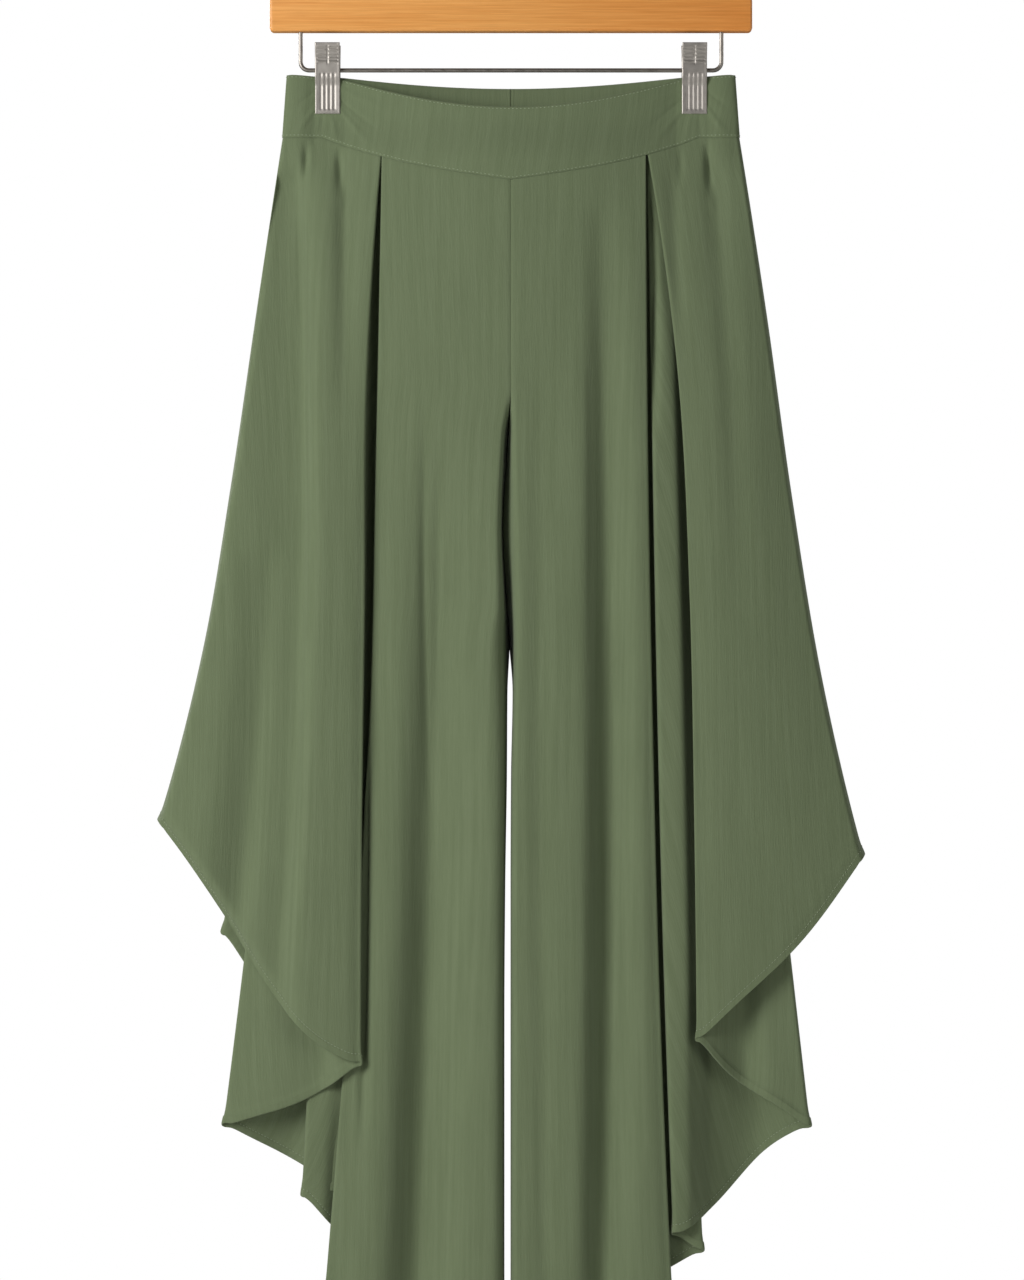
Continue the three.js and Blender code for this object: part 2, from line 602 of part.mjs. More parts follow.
/** A manifold solid of a closed geometry. */
function solid(geometry) {
  const bare = geometry.index ? geometry.toNonIndexed() : geometry.clone();
  bare.deleteAttribute('normal');
  bare.deleteAttribute('uv');
  const merged = mergeVertices(bare, 1e-4);
  return new wasm.Manifold(new wasm.Mesh({
    numProp: 3,
    vertProperties: merged.attributes.position.array,
    triVerts: new Uint32Array(merged.index.array),
  }));
}

/** A geometry of a manifold solid. */
function geometryOf(made) {
  const mesh = made.getMesh();
  const geometry = new THREE.BufferGeometry();
  geometry.setAttribute('position', new THREE.BufferAttribute(new Float32Array(mesh.vertProperties), 3));
  geometry.setIndex(new THREE.BufferAttribute(new Uint32Array(mesh.triVerts), 1));
  geometry.computeVertexNormals();
  return geometry;
}

/** An upright or level round pin that a hole is cut with. */
function pin(radius, length, x, y, z, turn = 0) {
  return new THREE.CylinderGeometry(radius, radius, length, 16)
    .applyMatrix4(new THREE.Matrix4().makeRotationX(Math.PI / 2))
    .applyMatrix4(new THREE.Matrix4().makeRotationY(turn))
    .translate(x, y, z);
}

/** The wooden bar, with a seat for the hook's stem and for each end of the wire. */
function hangerBar() {
  const [halfLength, halfHeight] = [BAR_LENGTH / 2 - BAR_EDGE, BAR_HEIGHT / 2 - BAR_EDGE];
  const corner = BAR_CORNER - BAR_EDGE;
  const face = new THREE.Shape();
  face.moveTo(-halfLength + corner, -halfHeight);
  face.absarc(halfLength - corner, -halfHeight + corner, corner, -Math.PI / 2, 0);
  face.absarc(halfLength - corner, halfHeight - corner, corner, 0, Math.PI / 2);
  face.absarc(-halfLength + corner, halfHeight - corner, corner, Math.PI / 2, Math.PI);
  face.absarc(-halfLength + corner, -halfHeight + corner, corner, Math.PI, 1.5 * Math.PI);
  const bar = new THREE.ExtrudeGeometry(face, {
    depth: BAR_DEPTH - 2 * BAR_EDGE,
    curveSegments: 3,
    bevelThickness: BAR_EDGE,
    bevelSize: BAR_EDGE,
    bevelSegments: 2,
  });
  bar.rotateX(Math.PI / 2).translate(0, BAR_DEPTH / 2 - BAR_EDGE, BAR_TOP_Z - BAR_HEIGHT / 2);
  const barBottom = BAR_TOP_Z - BAR_HEIGHT;
  const stemSeat = pin(HOOK_RADIUS + SEAM_GAP, 2 * STEM_SEAT, 0, 0, BAR_TOP_Z);
  const wireBore = WIRE_RADIUS + SEAM_GAP;
  const wireSeats = [-1, 1].map((side) => pin(wireBore, 2 * WIRE_SEAT, side * WIRE_OUT, 0, barBottom));
  return geometryOf([stemSeat, ...wireSeats].reduce((made, seat) => made.subtract(solid(seat)), solid(bar)));
}

/** The wire that drops from the bar, runs level under it, and carries the clips. */
function hangerWire() {
  const top = BAR_TOP_Z - BAR_HEIGHT + WIRE_SEAT - SEAM_GAP;
  const bendOut = WIRE_OUT - WIRE_BEND;
  const bendZ = WIRE_Z + WIRE_BEND;
  return rod([
    new THREE.Vector3(-WIRE_OUT, 0, top),
    ...arc(-bendOut, bendZ, WIRE_BEND, 180, 270, 4),
    ...arc(bendOut, bendZ, WIRE_BEND, 270, 360, 4),
    new THREE.Vector3(WIRE_OUT, 0, top),
  ], WIRE_RADIUS, 12);
}

/** The hook, whose inner top is the origin. */
function hangerHook() {
  const middle = HOOK_INNER + HOOK_RADIUS;
  const stemTop = -HOOK_INNER - middle - 14;
  const neck = new THREE.CubicBezierCurve3(
    new THREE.Vector3(0, 0, stemTop),
    new THREE.Vector3(0, 0, stemTop + 12),
    new THREE.Vector3(middle * 0.42, 0, -HOOK_INNER - middle * 1.02),
    new THREE.Vector3(middle * Math.cos(degToRad(-40)), 0, -HOOK_INNER + middle * Math.sin(degToRad(-40))),
  );
  return rod([
    new THREE.Vector3(0, 0, BAR_TOP_Z - STEM_SEAT + SEAM_GAP),
    ...neck.getPoints(5),
    ...arc(0, -HOOK_INNER, middle, -27, 195, 15),
  ], HOOK_RADIUS, 10);
}

/** The outline of a jaw's bent plate, as depth and height. */
function plateOutline() {
  const inner = [
    [CLIP_TAIL_DEPTH, zOf(CLIP_TOP_DROP)],
    [CLIP_PIVOT_DEPTH, WIRE_Z + 8],
    [CLIP_PIVOT_DEPTH, WIRE_Z - 4],
    [CLIP_JAW_DEPTH, WIRE_Z - 14],
    [CLIP_JAW_DEPTH, zOf(CLIP_FOOT_DROP)],
  ];
  return [...inner, ...[...inner].reverse().map(([depth, z]) => [depth + CLIP_PLATE, z])];
}

/** The outline of a jaw's cheek, which reaches round the wire, as depth and height. */
function cheekOutline() {
  const top = zOf(CLIP_TOP_DROP) - 3;
  return [
    [CLIP_TAIL_DEPTH + 0.3, top],
    [CLIP_PIVOT_DEPTH + 0.4, WIRE_Z + 8],
    [CLIP_PIVOT_DEPTH + 0.4, WIRE_Z - 2.9],
    [0.25, WIRE_Z - 2.9],
    [0.25, WIRE_Z + 4.5],
    [CLIP_TAIL_DEPTH - 4.5, top],
  ];
}

/** A solid of an outline of depths and heights, from one x over a width, towards the front or back. */
function across(outline, from, width, sign) {
  const shape = new THREE.Shape(outline.map(([depth, z]) => new THREE.Vector2(depth, z)));
  const turn = new THREE.Matrix4().set(0, 0, 1, from, sign, 0, 0, 0, 0, 1, 0, 0, 0, 0, 0, 1);
  const made = new THREE.ExtrudeGeometry(shape, { depth: width, bevelEnabled: false }).applyMatrix4(turn);
  return solid(sign < 0 ? flipped(made) : made);
}

/** One jaw of a clip: a bent plate with two cheeks that reach round the wire. */
function clipJaw(x, sign) {
  const half = CLIP_WIDTH / 2;
  const plate = across(plateOutline(), x - half, CLIP_WIDTH, sign);
  const cheeks = [x - half, x + half - CLIP_PLATE]
    .map((from) => across(cheekOutline(), from, CLIP_PLATE, sign));
  const wireWay = solid(pin(WIRE_RADIUS + SEAM_GAP, CLIP_WIDTH + 4, x, 0, WIRE_Z, Math.PI / 2));
  return geometryOf(cheeks.reduce((made, cheek) => made.add(cheek), plate).subtract(wireWay));
}

/** The geometry with its triangles turned round, for one that was mirrored. */
function flipped(geometry) {
  const bare = geometry.index ? geometry.toNonIndexed() : geometry.clone();
  const from = bare.attributes.position;
  const turned = new Float32Array(from.array.length);
  const point = new THREE.Vector3();
  for (let i = 0; i < from.count; i += 3) {
    [i, i + 2, i + 1].forEach((corner, k) => {
      point.fromBufferAttribute(from, corner).toArray(turned, 3 * (i + k));
    });
  }
  return new THREE.BufferGeometry().setAttribute('position', new THREE.BufferAttribute(turned, 3));
}

/** The spring coiled round the wire between the jaws, with a leg that spreads each tail. */
function clipSpring(x) {
  const [bore, half] = [WIRE_RADIUS + SEAM_GAP, 6];
  const outside = bore + COIL_WALL;
  const ring = [[bore, -half], [outside, -half], [outside, half], [bore, half], [bore, -half]]
    .map(([radius, at]) => new THREE.Vector2(radius, at));
  const coil = new THREE.LatheGeometry(ring, 16).rotateZ(Math.PI / 2).translate(x, 0, WIRE_Z);
  const legTop = zOf(CLIP_TOP_DROP) - 6;
  const legs = [-1, 1].map((sign) => rod([
    new THREE.Vector3(x + sign * 4.5, sign * (outside - 0.5), WIRE_Z),
    new THREE.Vector3(x + sign * 4.5, sign * (CLIP_TAIL_DEPTH - 2.4), legTop),
  ], 0.6, 6));
  const wireWay = solid(pin(bore, 4 * half, x, 0, WIRE_Z, Math.PI / 2));
  return geometryOf(legs.reduce((made, leg) => made.add(solid(leg)), solid(coil)).subtract(wireWay));
}

// ---- The whole ---------------------------------------------------------------------------------

/** A plain finish with a name. */
const finish = (name, color, roughness, metalness) => (
  new THREE.MeshStandardMaterial({ name, color, roughness, metalness })
);

const CREPE = finish('crepe', '#687258', 0.85, 0);
const WOOD = finish('wood', '#d6904f', 0.45, 0);
const STEEL = finish('steel', '#9a958e', 0.35, 1);

const trousers = new THREE.Group();
const hanger = new THREE.Group();

trousers.add(piece('waistband_front', waistband('front', [-1, 1]), CREPE));
Object.entries(SIDES).forEach(([side, sign]) => {
  trousers.add(piece(`waistband_back_${side}`, waistband('back', [sign]), CREPE));
  Object.keys(FACES).forEach((face) => {
    const leg = { side, sign, face, key: `${face}_${side}` };
    trousers.add(piece(`leg_${leg.key}`, wall(legRows(leg, 'panel'), CLOTH), CREPE));
    trousers.add(piece(`drape_${leg.key}`, wall(legRows(leg, 'drape'), CLOTH), CREPE));
  });
});

hanger.add(piece('hanger_bar', hangerBar(), WOOD));
hanger.add(piece('hanger_hook', hangerHook(), STEEL));
hanger.add(piece('hanger_wire', hangerWire(), STEEL));
Object.entries(SIDES).forEach(([side, sign]) => {
  Object.entries(FACES).forEach(([face, facing]) => {
    hanger.add(piece(`clip_${side}_${face}`, clipJaw(sign * CLIP_OUT, facing), STEEL));
  });
  hanger.add(piece(`clip_${side}_spring`, clipSpring(sign * CLIP_OUT), STEEL));
});

const part = new THREE.Group();
part.add(trousers, hanger);
export default part;
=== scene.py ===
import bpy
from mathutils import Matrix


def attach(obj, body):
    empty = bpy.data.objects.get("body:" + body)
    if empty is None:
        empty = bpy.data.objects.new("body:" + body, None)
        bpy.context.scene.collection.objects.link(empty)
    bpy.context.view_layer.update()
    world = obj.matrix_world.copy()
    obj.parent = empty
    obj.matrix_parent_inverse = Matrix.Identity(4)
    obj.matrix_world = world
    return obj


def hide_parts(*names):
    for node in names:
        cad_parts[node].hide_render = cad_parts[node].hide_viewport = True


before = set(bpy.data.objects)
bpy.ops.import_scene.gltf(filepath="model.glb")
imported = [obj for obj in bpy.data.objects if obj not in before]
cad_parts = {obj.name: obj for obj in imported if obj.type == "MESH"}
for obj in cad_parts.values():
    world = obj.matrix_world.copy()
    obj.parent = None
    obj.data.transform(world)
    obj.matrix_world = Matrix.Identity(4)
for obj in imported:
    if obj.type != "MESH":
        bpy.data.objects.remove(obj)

"""Wide-leg trousers with waterfall side drapes, hung by the waistband from a wooden clip hanger.

Sizes are in millimetres until a mesh is made. The front faces -Y. Right and left are the wearer's, so
right is at -X. A drop is a distance below the top of the waistband, out is a distance from the centre
line, and depth is a distance from the plane that halves the garment from front to back.
"""

import logging
import math
from dataclasses import dataclass, field, replace
from enum import Enum
from typing import Sequence

import bmesh
import bpy
import numpy as np
from mathutils import Vector

Grid = np.ndarray
Values = np.ndarray
Object = bpy.types.Object
Mesh = bpy.types.Mesh
Material = bpy.types.Material
Tree = bpy.types.NodeTree
Node = bpy.types.Node
Socket = bpy.types.NodeSocket
LOG = logging.getLogger("trousers")
MM = 0.001


class Face(Enum):
    """The two faces of the garment, by the way that each looks along Y."""

    FRONT = -1
    BACK = 1


class Side(Enum):
    """The wearer's two sides, by the way that each lies along X."""

    RIGHT = -1
    LEFT = 1


# ---- Small helpers ------------------------------------------------------------------------------


def smooth(value: Values, start: float, end: float) -> Values:
    """A soft step from 0 at start to 1 at end."""
    share = np.clip((value - start) / (end - start), 0.0, 1.0)
    return share * share * (3.0 - 2.0 * share)


def mix(first: Values, last: Values, share: Values) -> Values:
    """The value at a share of the way from the first to the last."""
    return first + (last - first) * share


def bell(distance: Values, width: float) -> Values:
    """A bell of height one, at a distance from its middle."""
    return np.exp(-((distance / width) ** 2))


def along(stations: Sequence[float], share: Values) -> Values:
    """A smooth line through evenly spaced stations.

    Args:
        stations: the values at the stations.
        share: shares of the line's length.

    Returns:
        The line's value at each share.
    """
    values = np.asarray(stations, float)
    before = 3 * values[0] - 3 * values[1] + values[2]
    beyond = 3 * values[-1] - 3 * values[-2] + values[-3]
    row = np.concatenate(([before], values, [beyond]))
    place = np.clip(share, 0.0, 1.0) * (len(values) - 1)
    at = np.minimum(place.astype(int), len(values) - 2)
    t = place - at
    p0, p1, p2, p3 = (row[at + i] for i in range(4))
    v0, v1 = (p2 - p0) / 2, (p3 - p1) / 2
    return (2 * p1 - 2 * p2 + v0 + v1) * t**3 + (-3 * p1 + 3 * p2 - 2 * v0 - v1) * t**2 + v0 * t + p1


def linear(code: str) -> tuple[float, float, float, float]:
    """The linear colour of an sRGB hex value, with alpha."""
    parts = [int(code[i : i + 2], 16) / 255 for i in (1, 3, 5)]
    r, g, b = (c / 12.92 if c <= 0.04045 else ((c + 0.055) / 1.055) ** 2.4 for c in parts)
    return (r, g, b, 1.0)


def feed(tree: Tree, node: Node, settings: dict, links: dict) -> Node:
    """Sets and links a node.

    Args:
        tree: the node's tree.
        node: the node.
        settings: values of its properties, or of its inputs by name or number.
        links: the socket that feeds each input.

    Returns:
        The node.
    """
    for key, value in settings.items():
        if isinstance(key, str) and hasattr(node, key):
            setattr(node, key, value)
        else:
            node.inputs[key].default_value = value
    for key, source in links.items():
        tree.links.new(source, node.inputs[key])
    return node


def add_node(tree: Tree, kind: str, settings: dict | None = None, links: dict | None = None) -> Node:
    """Adds a node of a kind to a tree, set and linked."""
    return feed(tree, tree.nodes.new(kind), settings or {}, links or {})


def add_noise(tree: Tree, place: Socket, scale: float, detail: float, **more: float) -> Socket:
    """Noise of a scale and detail at a place, and more inputs by name."""
    settings = {"Scale": scale, "Detail": detail, **more}
    return add_node(tree, "ShaderNodeTexNoise", settings, {"Vector": place}).outputs["Fac"]


def add_range(
    tree: Tree, value: Socket, low: float, high: float, start: float = 0.0, end: float = 1.0
) -> Socket:
    """A value between start and end, turned into one between low and high."""
    settings = {"From Min": start, "From Max": end, "To Min": low, "To Max": high}
    return add_node(tree, "ShaderNodeMapRange", settings, {"Value": value}).outputs[0]


def add_bump(
    tree: Tree, height: Socket, strength: float, distance_mm: float, links: dict | None = None
) -> Socket:
    """A bump of a strength and a depth in millimetres, over the normal that links may give."""
    settings = {"Strength": strength, "Distance": distance_mm * MM}
    return add_node(tree, "ShaderNodeBump", settings, {"Height": height, **(links or {})}).outputs[0]


def add_ramp(tree: Tree, value: Socket, *stops: tuple[float, str]) -> Socket:
    """A colour that follows a value, from the places and sRGB colours of its stops."""
    ramp = add_node(tree, "ShaderNodeValToRGB", links={"Fac": value})
    elements = ramp.color_ramp.elements
    for element, (place, colour) in zip(elements, (stops[0], stops[-1])):
        element.position, element.color = place, linear(colour)
    for place, colour in stops[1:-1]:
        elements.new(place).color = linear(colour)
    return ramp.outputs["Color"]


def scale_colour(tree: Tree, colour: Socket, amount: Socket) -> Socket:
    """A colour made darker or lighter by an amount."""
    scaled = {0: colour, "Scale": amount}
    return add_node(tree, "ShaderNodeVectorMath", {"operation": "SCALE"}, scaled).outputs[0]


def new_material(name: str) -> tuple[Material, Tree, Node]:
    """A new material, with its tree and its shader."""
    made = bpy.data.materials.new(name)
    made.use_nodes = True
    return made, made.node_tree, made.node_tree.nodes["Principled BSDF"]


def link_object(name: str, data: bpy.types.ID) -> Object:
    """An object of a mesh, curve, light or camera, in the scene."""
    made = bpy.data.objects.new(name, data)
    bpy.context.scene.collection.objects.link(made)
    return made


def smooth_faces(mesh: Mesh) -> None:
    """Shades all the faces of a mesh smooth."""
    mesh.polygons.foreach_set("use_smooth", np.ones(len(mesh.polygons), dtype=bool))


def replace_by_mesh(holder: Object, name: str) -> Object:
    """Puts the mesh that an object's curve or modifiers make in the object's place."""
    graph = bpy.context.evaluated_depsgraph_get()
    made = bpy.data.meshes.new_from_object(holder.evaluated_get(graph))
    bpy.data.objects.remove(holder)
    smooth_faces(made)
    return link_object(name, made)


def fix_normals(piece: Object) -> None:
    """Turns all the faces of a closed mesh outwards."""
    work = bmesh.new()
    work.from_mesh(piece.data)
    bmesh.ops.recalc_face_normals(work, faces=work.faces)
    work.to_mesh(piece.data)
    work.free()


def grid_faces(rows: int, columns: int) -> tuple[Grid, Grid]:
    """The faces of a grid of points, and those that join its rim to that of a second grid after it."""
    index = np.arange(rows * columns).reshape(rows, columns)
    corners = (index[:-1, :-1], index[1:, :-1], index[1:, 1:], index[:-1, 1:])
    rim = np.concatenate((index[0, :], index[1:, -1], index[-1, -2::-1], index[-2:0:-1, 0]))
    ahead, base = np.roll(rim, -1), rows * columns
    joined = np.stack((rim, ahead, ahead + base, rim + base), axis=-1)
    return np.stack(corners, axis=-1).reshape(-1, 4), joined


def finish_piece(piece: Object, material: Material, slot: str, *nodes: str) -> None:
    """Dresses a piece, hangs it from the root body and hides the solids that it replaces.

    Args:
        piece: the object.
        material: its material.
        slot: not used.
        nodes: the solids that it replaces.
    """
    piece.data.materials.clear()
    piece.data.materials.append(material)
    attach(piece, "root")
    if nodes:
        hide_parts(*nodes)
    LOG.info("%s: %d faces", piece.name, len(piece.data.polygons))


def mesh_of(name: str, points: Grid, faces: list | Grid, uv: Grid | None = None) -> Object:
    """A smooth object of points in millimetres.

    Args:
        name: the piece's name.
        points: one row for each point.
        faces: the points of each face.
        uv: a place on the flat cloth for each point, in metres.

    Returns:
        The object.
    """
    mesh = bpy.data.meshes.new(name)
    listed = faces.tolist() if isinstance(faces, np.ndarray) else faces
    mesh.from_pydata((np.asarray(points) * MM).tolist(), [], listed)
    if uv is not None:
        corners = np.empty(len(mesh.loops), dtype=np.int32)
        mesh.loops.foreach_get("vertex_index", corners)
        layer = mesh.uv_layers.new(name="cloth")
        layer.data.foreach_set("uv", uv[corners].astype(np.float32).ravel())
    smooth_faces(mesh)
    mesh.update()
    return link_object(name, mesh)


# ---- Finishes -----------------------------------------------------------------------------------


@dataclass(frozen=True)
class Crepe:
    """A polyester crepe, woven from hard-twisted yarn and piece-dyed olive.

    The twist gives a dry, matt face with a fine pebble, and makes the warp crinkle in short upright
    lines that show best where the light grazes the cloth. Only a very soft sheen lies on the folds.
    """

    name: str = "olive crepe"
    body: str = "#677355"
    shade: str = "#647052"
    tint: str = "#6a7658"
    crinkle_mm: tuple[float, float] = (1.5, 15.0)
    streak_mm: tuple[float, float] = (5.0, 160.0)
    weave_mm: float = 0.55
    cloud_mm: float = 32.0
    roughness: float = 0.85
    sheen: float = 0.12

    def material(self) -> Material:
        """The material, whose pattern follows the cloth's own map."""
        made, tree, shader = new_material(self.name)
        flat = add_node(tree, "ShaderNodeUVMap", {"uv_map": "cloth"}).outputs[0]
        crinkles = self.noise(tree, flat, self.crinkle_mm, 3.0)
        streaks = self.noise(tree, flat, self.streak_mm, 2.0)
        weave = self.noise(tree, flat, (self.weave_mm, self.weave_mm), 1.0)
        clouds = self.noise(tree, flat, (self.cloud_mm, self.cloud_mm * 2.5), 2.0)
        # The tones follow the streak noise, a random dye tone, and a third as strongly the crinkles'
        # bump height, so the crinkles' hollows are also painted a little darker: partly painted shade
        mixing = {"operation": "MULTIPLY_ADD", 1: 0.35}
        mixed = add_node(tree, "ShaderNodeMath", mixing, {0: crinkles, 2: streaks}).outputs[0]
        tones = add_ramp(tree, mixed, (0.5, self.shade), (0.675, self.body), (0.85, self.tint))
        patches = add_range(tree, clouds, 0.975, 1.025, 0.3, 0.7)
        coloured = scale_colour(tree, tones, patches)
        crinkled = add_bump(tree, crinkles, 0.5, 0.6)
        woven = add_bump(tree, weave, 0.5, 0.2, {"Normal": crinkled})
        finish = {
            "Roughness": self.roughness,
            "Specular IOR Level": 0.2,
            "Sheen Weight": self.sheen,
            "Sheen Roughness": 0.5,
        }
        feed(tree, shader, finish, {"Base Color": coloured, "Normal": woven})
        return made

    def noise(self, tree: Tree, flat: Socket, size: tuple[float, float], detail: float) -> Socket:
        """Noise with grains of a size across and along the cloth, in millimetres."""
        across, length = (1 / (part * MM) for part in size)
        spread = add_node(tree, "ShaderNodeMapping", {"Scale": (across, length, 1)}, {"Vector": flat})
        return add_noise(tree, spread.outputs[0], 1.0, detail, Roughness=0.55)


@dataclass(frozen=True)
class Thread:
    """Spun polyester sewing thread, dyed to match; its colour is painted paler than the cloth's, a
    painted highlight on the raised stitches.
    """

    name: str = "sewing thread"
    # body: painted highlight, the thread is painted paler than the cloth so that the raised stitches
    # show as light dots
    body: str = "#98a387"

    def material(self) -> Material:
        """The material, with the thread's twist as a fine band."""
        made, tree, shader = new_material(self.name)
        place = add_node(tree, "ShaderNodeTexCoord").outputs["Object"]
        twist = add_range(tree, add_noise(tree, place, 2500.0, 1.0), 0.85, 1.12)
        # The paler colour is a painted highlight, not the thread's dye
        body = {"operation": "SCALE", 0: linear(self.body)[:3]}
        coloured = add_node(tree, "ShaderNodeVectorMath", body, {"Scale": twist}).outputs[0]
        feed(tree, shader, {"Roughness": 0.7, "Specular IOR Level": 0.3}, {"Base Color": coloured})
        return made


@dataclass(frozen=True)
class Beech:
    """Steamed beech, planed and sealed with a satin lacquer, with short fine flecks along the bar."""

    name: str = "lacquered beech"
    pale: str = "#e8a65c"
    deep: str = "#cf8136"
    # painted_falloff_tint and painted_falloff_reach: painted shade, the colour is multiplied darker
    # towards the bar's right end to stand in for the light falling off there
    painted_falloff_tint: str = "#f8e7d3"
    grain_mm: float = 1.5
    painted_falloff_reach: float = 0.2

    def material(self) -> Material:
        """The material, with grain that runs along X."""
        made, tree, shader = new_material(self.name)
        place = add_node(tree, "ShaderNodeTexCoord").outputs["Object"]
        grain = 1 / (self.grain_mm * MM)
        stretched = {"Scale": (grain / 60, grain, grain)}
        long_way = add_node(tree, "ShaderNodeMapping", stretched, {"Vector": place}).outputs[0]
        figure = add_noise(tree, long_way, 1.0, 5.0, Roughness=0.6, Distortion=0.6)
        tones = add_ramp(tree, figure, (0.12, self.deep), (0.62, self.pale))
        flecks = add_range(tree, add_noise(tree, long_way, 3.2, 2.0), 0.93, 1.03, 0.35, 0.65)
        coloured = scale_colour(tree, tones, flecks)
        # Painted shade: from X = 0 to the reach the colour is multiplied by the tint, so the right
        # half of the bar is painted darker where the light falls off
        along_bar = add_node(tree, "ShaderNodeSeparateXYZ", links={0: place}).outputs["X"]
        painted_falloff = add_range(tree, along_bar, 0.0, 1.0, 0.0, self.painted_falloff_reach)
        mixing = {"data_type": "RGBA", "blend_type": "MULTIPLY", "B": linear(self.painted_falloff_tint)}
        painted_falloff_mix = add_node(tree, "ShaderNodeMix", mixing, {"Factor": painted_falloff, "A": coloured})
        bump = add_bump(tree, figure, 0.08, 0.3)
        finish = {"Roughness": 0.42, "Specular IOR Level": 0.3}
        feed(tree, shader, finish, {"Base Color": painted_falloff_mix.outputs["Result"], "Normal": bump})
        return made


@dataclass(frozen=True)
class Steel:
    """Stamped and drawn steel with a dull nickel plate, a little darker and rougher in random patches.
    """

    name: str = "nickelled steel"
    body: str = "#a8a39c"
    worn: str = "#8d877f"
    roughness: float = 0.36

    def material(self) -> Material:
        """The material, with a fine unevenness in its polish."""
        made, tree, shader = new_material(self.name)
        place = add_node(tree, "ShaderNodeTexCoord").outputs["Object"]
        wear = add_noise(tree, place, 220.0, 4.0)
        mixing = {"data_type": "RGBA", "A": linear(self.worn), "B": linear(self.body)}
        tones = add_node(tree, "ShaderNodeMix", mixing, {"Factor": wear}).outputs["Result"]
        polish = add_range(tree, wear, self.roughness - 0.06, self.roughness + 0.1)
        feed(tree, shader, {"Metallic": 1.0}, {"Base Color": tones, "Roughness": polish})
        return made


# ---- The cut of the cloth -----------------------------------------------------------------------


@dataclass(frozen=True)
class Cut:
    """The sizes that all the pieces of cloth share."""

    cloth: float = 0.8
    band_cloth: float = 1.8
    half_gap: float = 0.06
    top_z: float = -136.0
    side_drop: float = 55.0
    side_out_top: float = 197.5
    side_out_seam: float = 201.5
    front_dip: float = 30.2
    back_dip: float = 9.5
    dip_half_width: float = 160.0
    front_point: float = 94.2
    back_curve: float = 76.0
    level_out: float = 166.0
    side_round: float = 4.0
    side_round_low: float = 6.0
    corner_round: float = 7.0
    tip_round: float = 3.4
    tip_ear: float = 1.5
    pinch: float = 1.2
    bulge: float = 17.0
    bulge_half_width: float = 146.0
    loop: float = 2.2
    let_go: float = 6.5
    let_go_drop: float = 40.0
    layer_pitch: float = 1.8
    fill_drop: float = 380.0
    fold_round: float = 2.6
    clip_out: float = 162.0
    clip_width: float = 22.0
    clip_foot: float = 34.0
    fork_top: float = 275.0
    fork_open: float = 330.0
    crotch: float = 500.0
    crotch_turn: float = 55.0
    inseam_hem: float = 1095.0

    def band_top(self, out: Values, face: Face) -> Values:
        """Drop of the waistband's top edge."""
        dip = self.front_dip if face is Face.FRONT else self.back_dip
        share = np.maximum(0.0, 1 - (out / self.dip_half_width) ** 2)
        return 1.5 * smooth(self.side_out_top - np.abs(out), 0, 30) + (dip - 1.5) * share**1.2

    def seam_drop(self, out: Values, face: Face) -> Values:
        """Drop of the waist seam: a point in front, a curve behind, and level at the sides."""
        reach = np.minimum(np.abs(out), self.level_out) / self.level_out
        if face is Face.BACK:
            return mix(self.back_curve, self.side_drop, reach**2)
        return np.maximum(self.side_drop, self.front_point - 23.2 * reach - 16 * reach**2.9)

    def band_depth(self, out: Values, drop: Values) -> Values:
        """Depth of the waistband's middle: shut at the clips, open between them and outside them."""
        reach = np.abs(out)
        opened = self.bulge * np.maximum(0.0, 1 - (reach / self.bulge_half_width) ** 2)
        start = self.clip_out + self.clip_width / 2 + 1
        share = np.clip((reach - start) / (self.side_out_seam - start), 0, 1)
        foot = self.clip_foot + 3
        released = self.let_go * smooth(drop, foot, foot + self.let_go_drop)
        return self.pinch + opened + self.loop * np.sin(math.pi * share) + released

    def z(self, drop: Values) -> Values:
        """The height of a drop."""
        return self.top_z - drop


@dataclass(frozen=True)
class Fold:
    """One fold line of a leg, from the waist seam to the hem, and the cloth that runs to it.

    out has the line's place at the seam, each quarter and the hem, and hem its drop there. near and
    far are the depths of the cloth's two ends low down, and rank is how many layers lie outside it at
    the waist. bow and swing are how its hem sags and snakes, bend is above one where the depth changes
    late, and curl is how far the hem turns back towards the fold.
    """

    name: str
    out: tuple[float, float, float, float, float]
    hem: float
    near: float
    far: float
    rank: int
    bow: float = 0.0
    swing: float = 0.0
    bend: float = 1.0
    curl: float = 0.0


@dataclass(frozen=True)
class Wave:
    """A soft fold or crease down the cloth.

    run has the drops of its two ends, out its three places, and widths how wide it is towards the
    centre line and towards the side. rise is how far it stands out at three places, or lies in where
    that is negative. on is the fold that its cloth runs to, or nothing where every layer has it.
    """

    name: str
    run: tuple[float, float]
    out: tuple[float, float, float]
    widths: tuple[float, float]
    rise: tuple[float, float, float]
    on: str = ""

    def at(self, out: Values, drop: Values) -> Values:
        """How far it lifts the cloth at a place."""
        top, low = self.run
        share = np.clip((drop - top) / (low - top), 0, 1)
        off = out - along(self.out, share)
        width = np.where(off < 0, self.widths[0], self.widths[1])
        ended = 1 - smooth(drop, low, low + 40) if self.rise[2] == 0 else 1.0
        return smooth(drop, top - 25, top + 15) * ended * along(self.rise, share) * bell(off, width)


@dataclass(frozen=True)
class InnerEdge:
    """Where a leg's inner edge lies, at eleven drops from the waist seam to the hem.

    edges has the edge that shows and rounds its round. seams and seam_depths have the seam behind it.
    """

    edges: tuple[float, ...]
    rounds: tuple[float, ...]
    seams: tuple[float, ...]
    seam_depths: tuple[float, ...] = (18, 24, 4, 5, -6, -23.9, -12, -3, 0, 0, 0)
    drops: tuple[float, ...] = (94, 275, 323, 400, 468, 500, 545, 620, 720, 830, 1100)


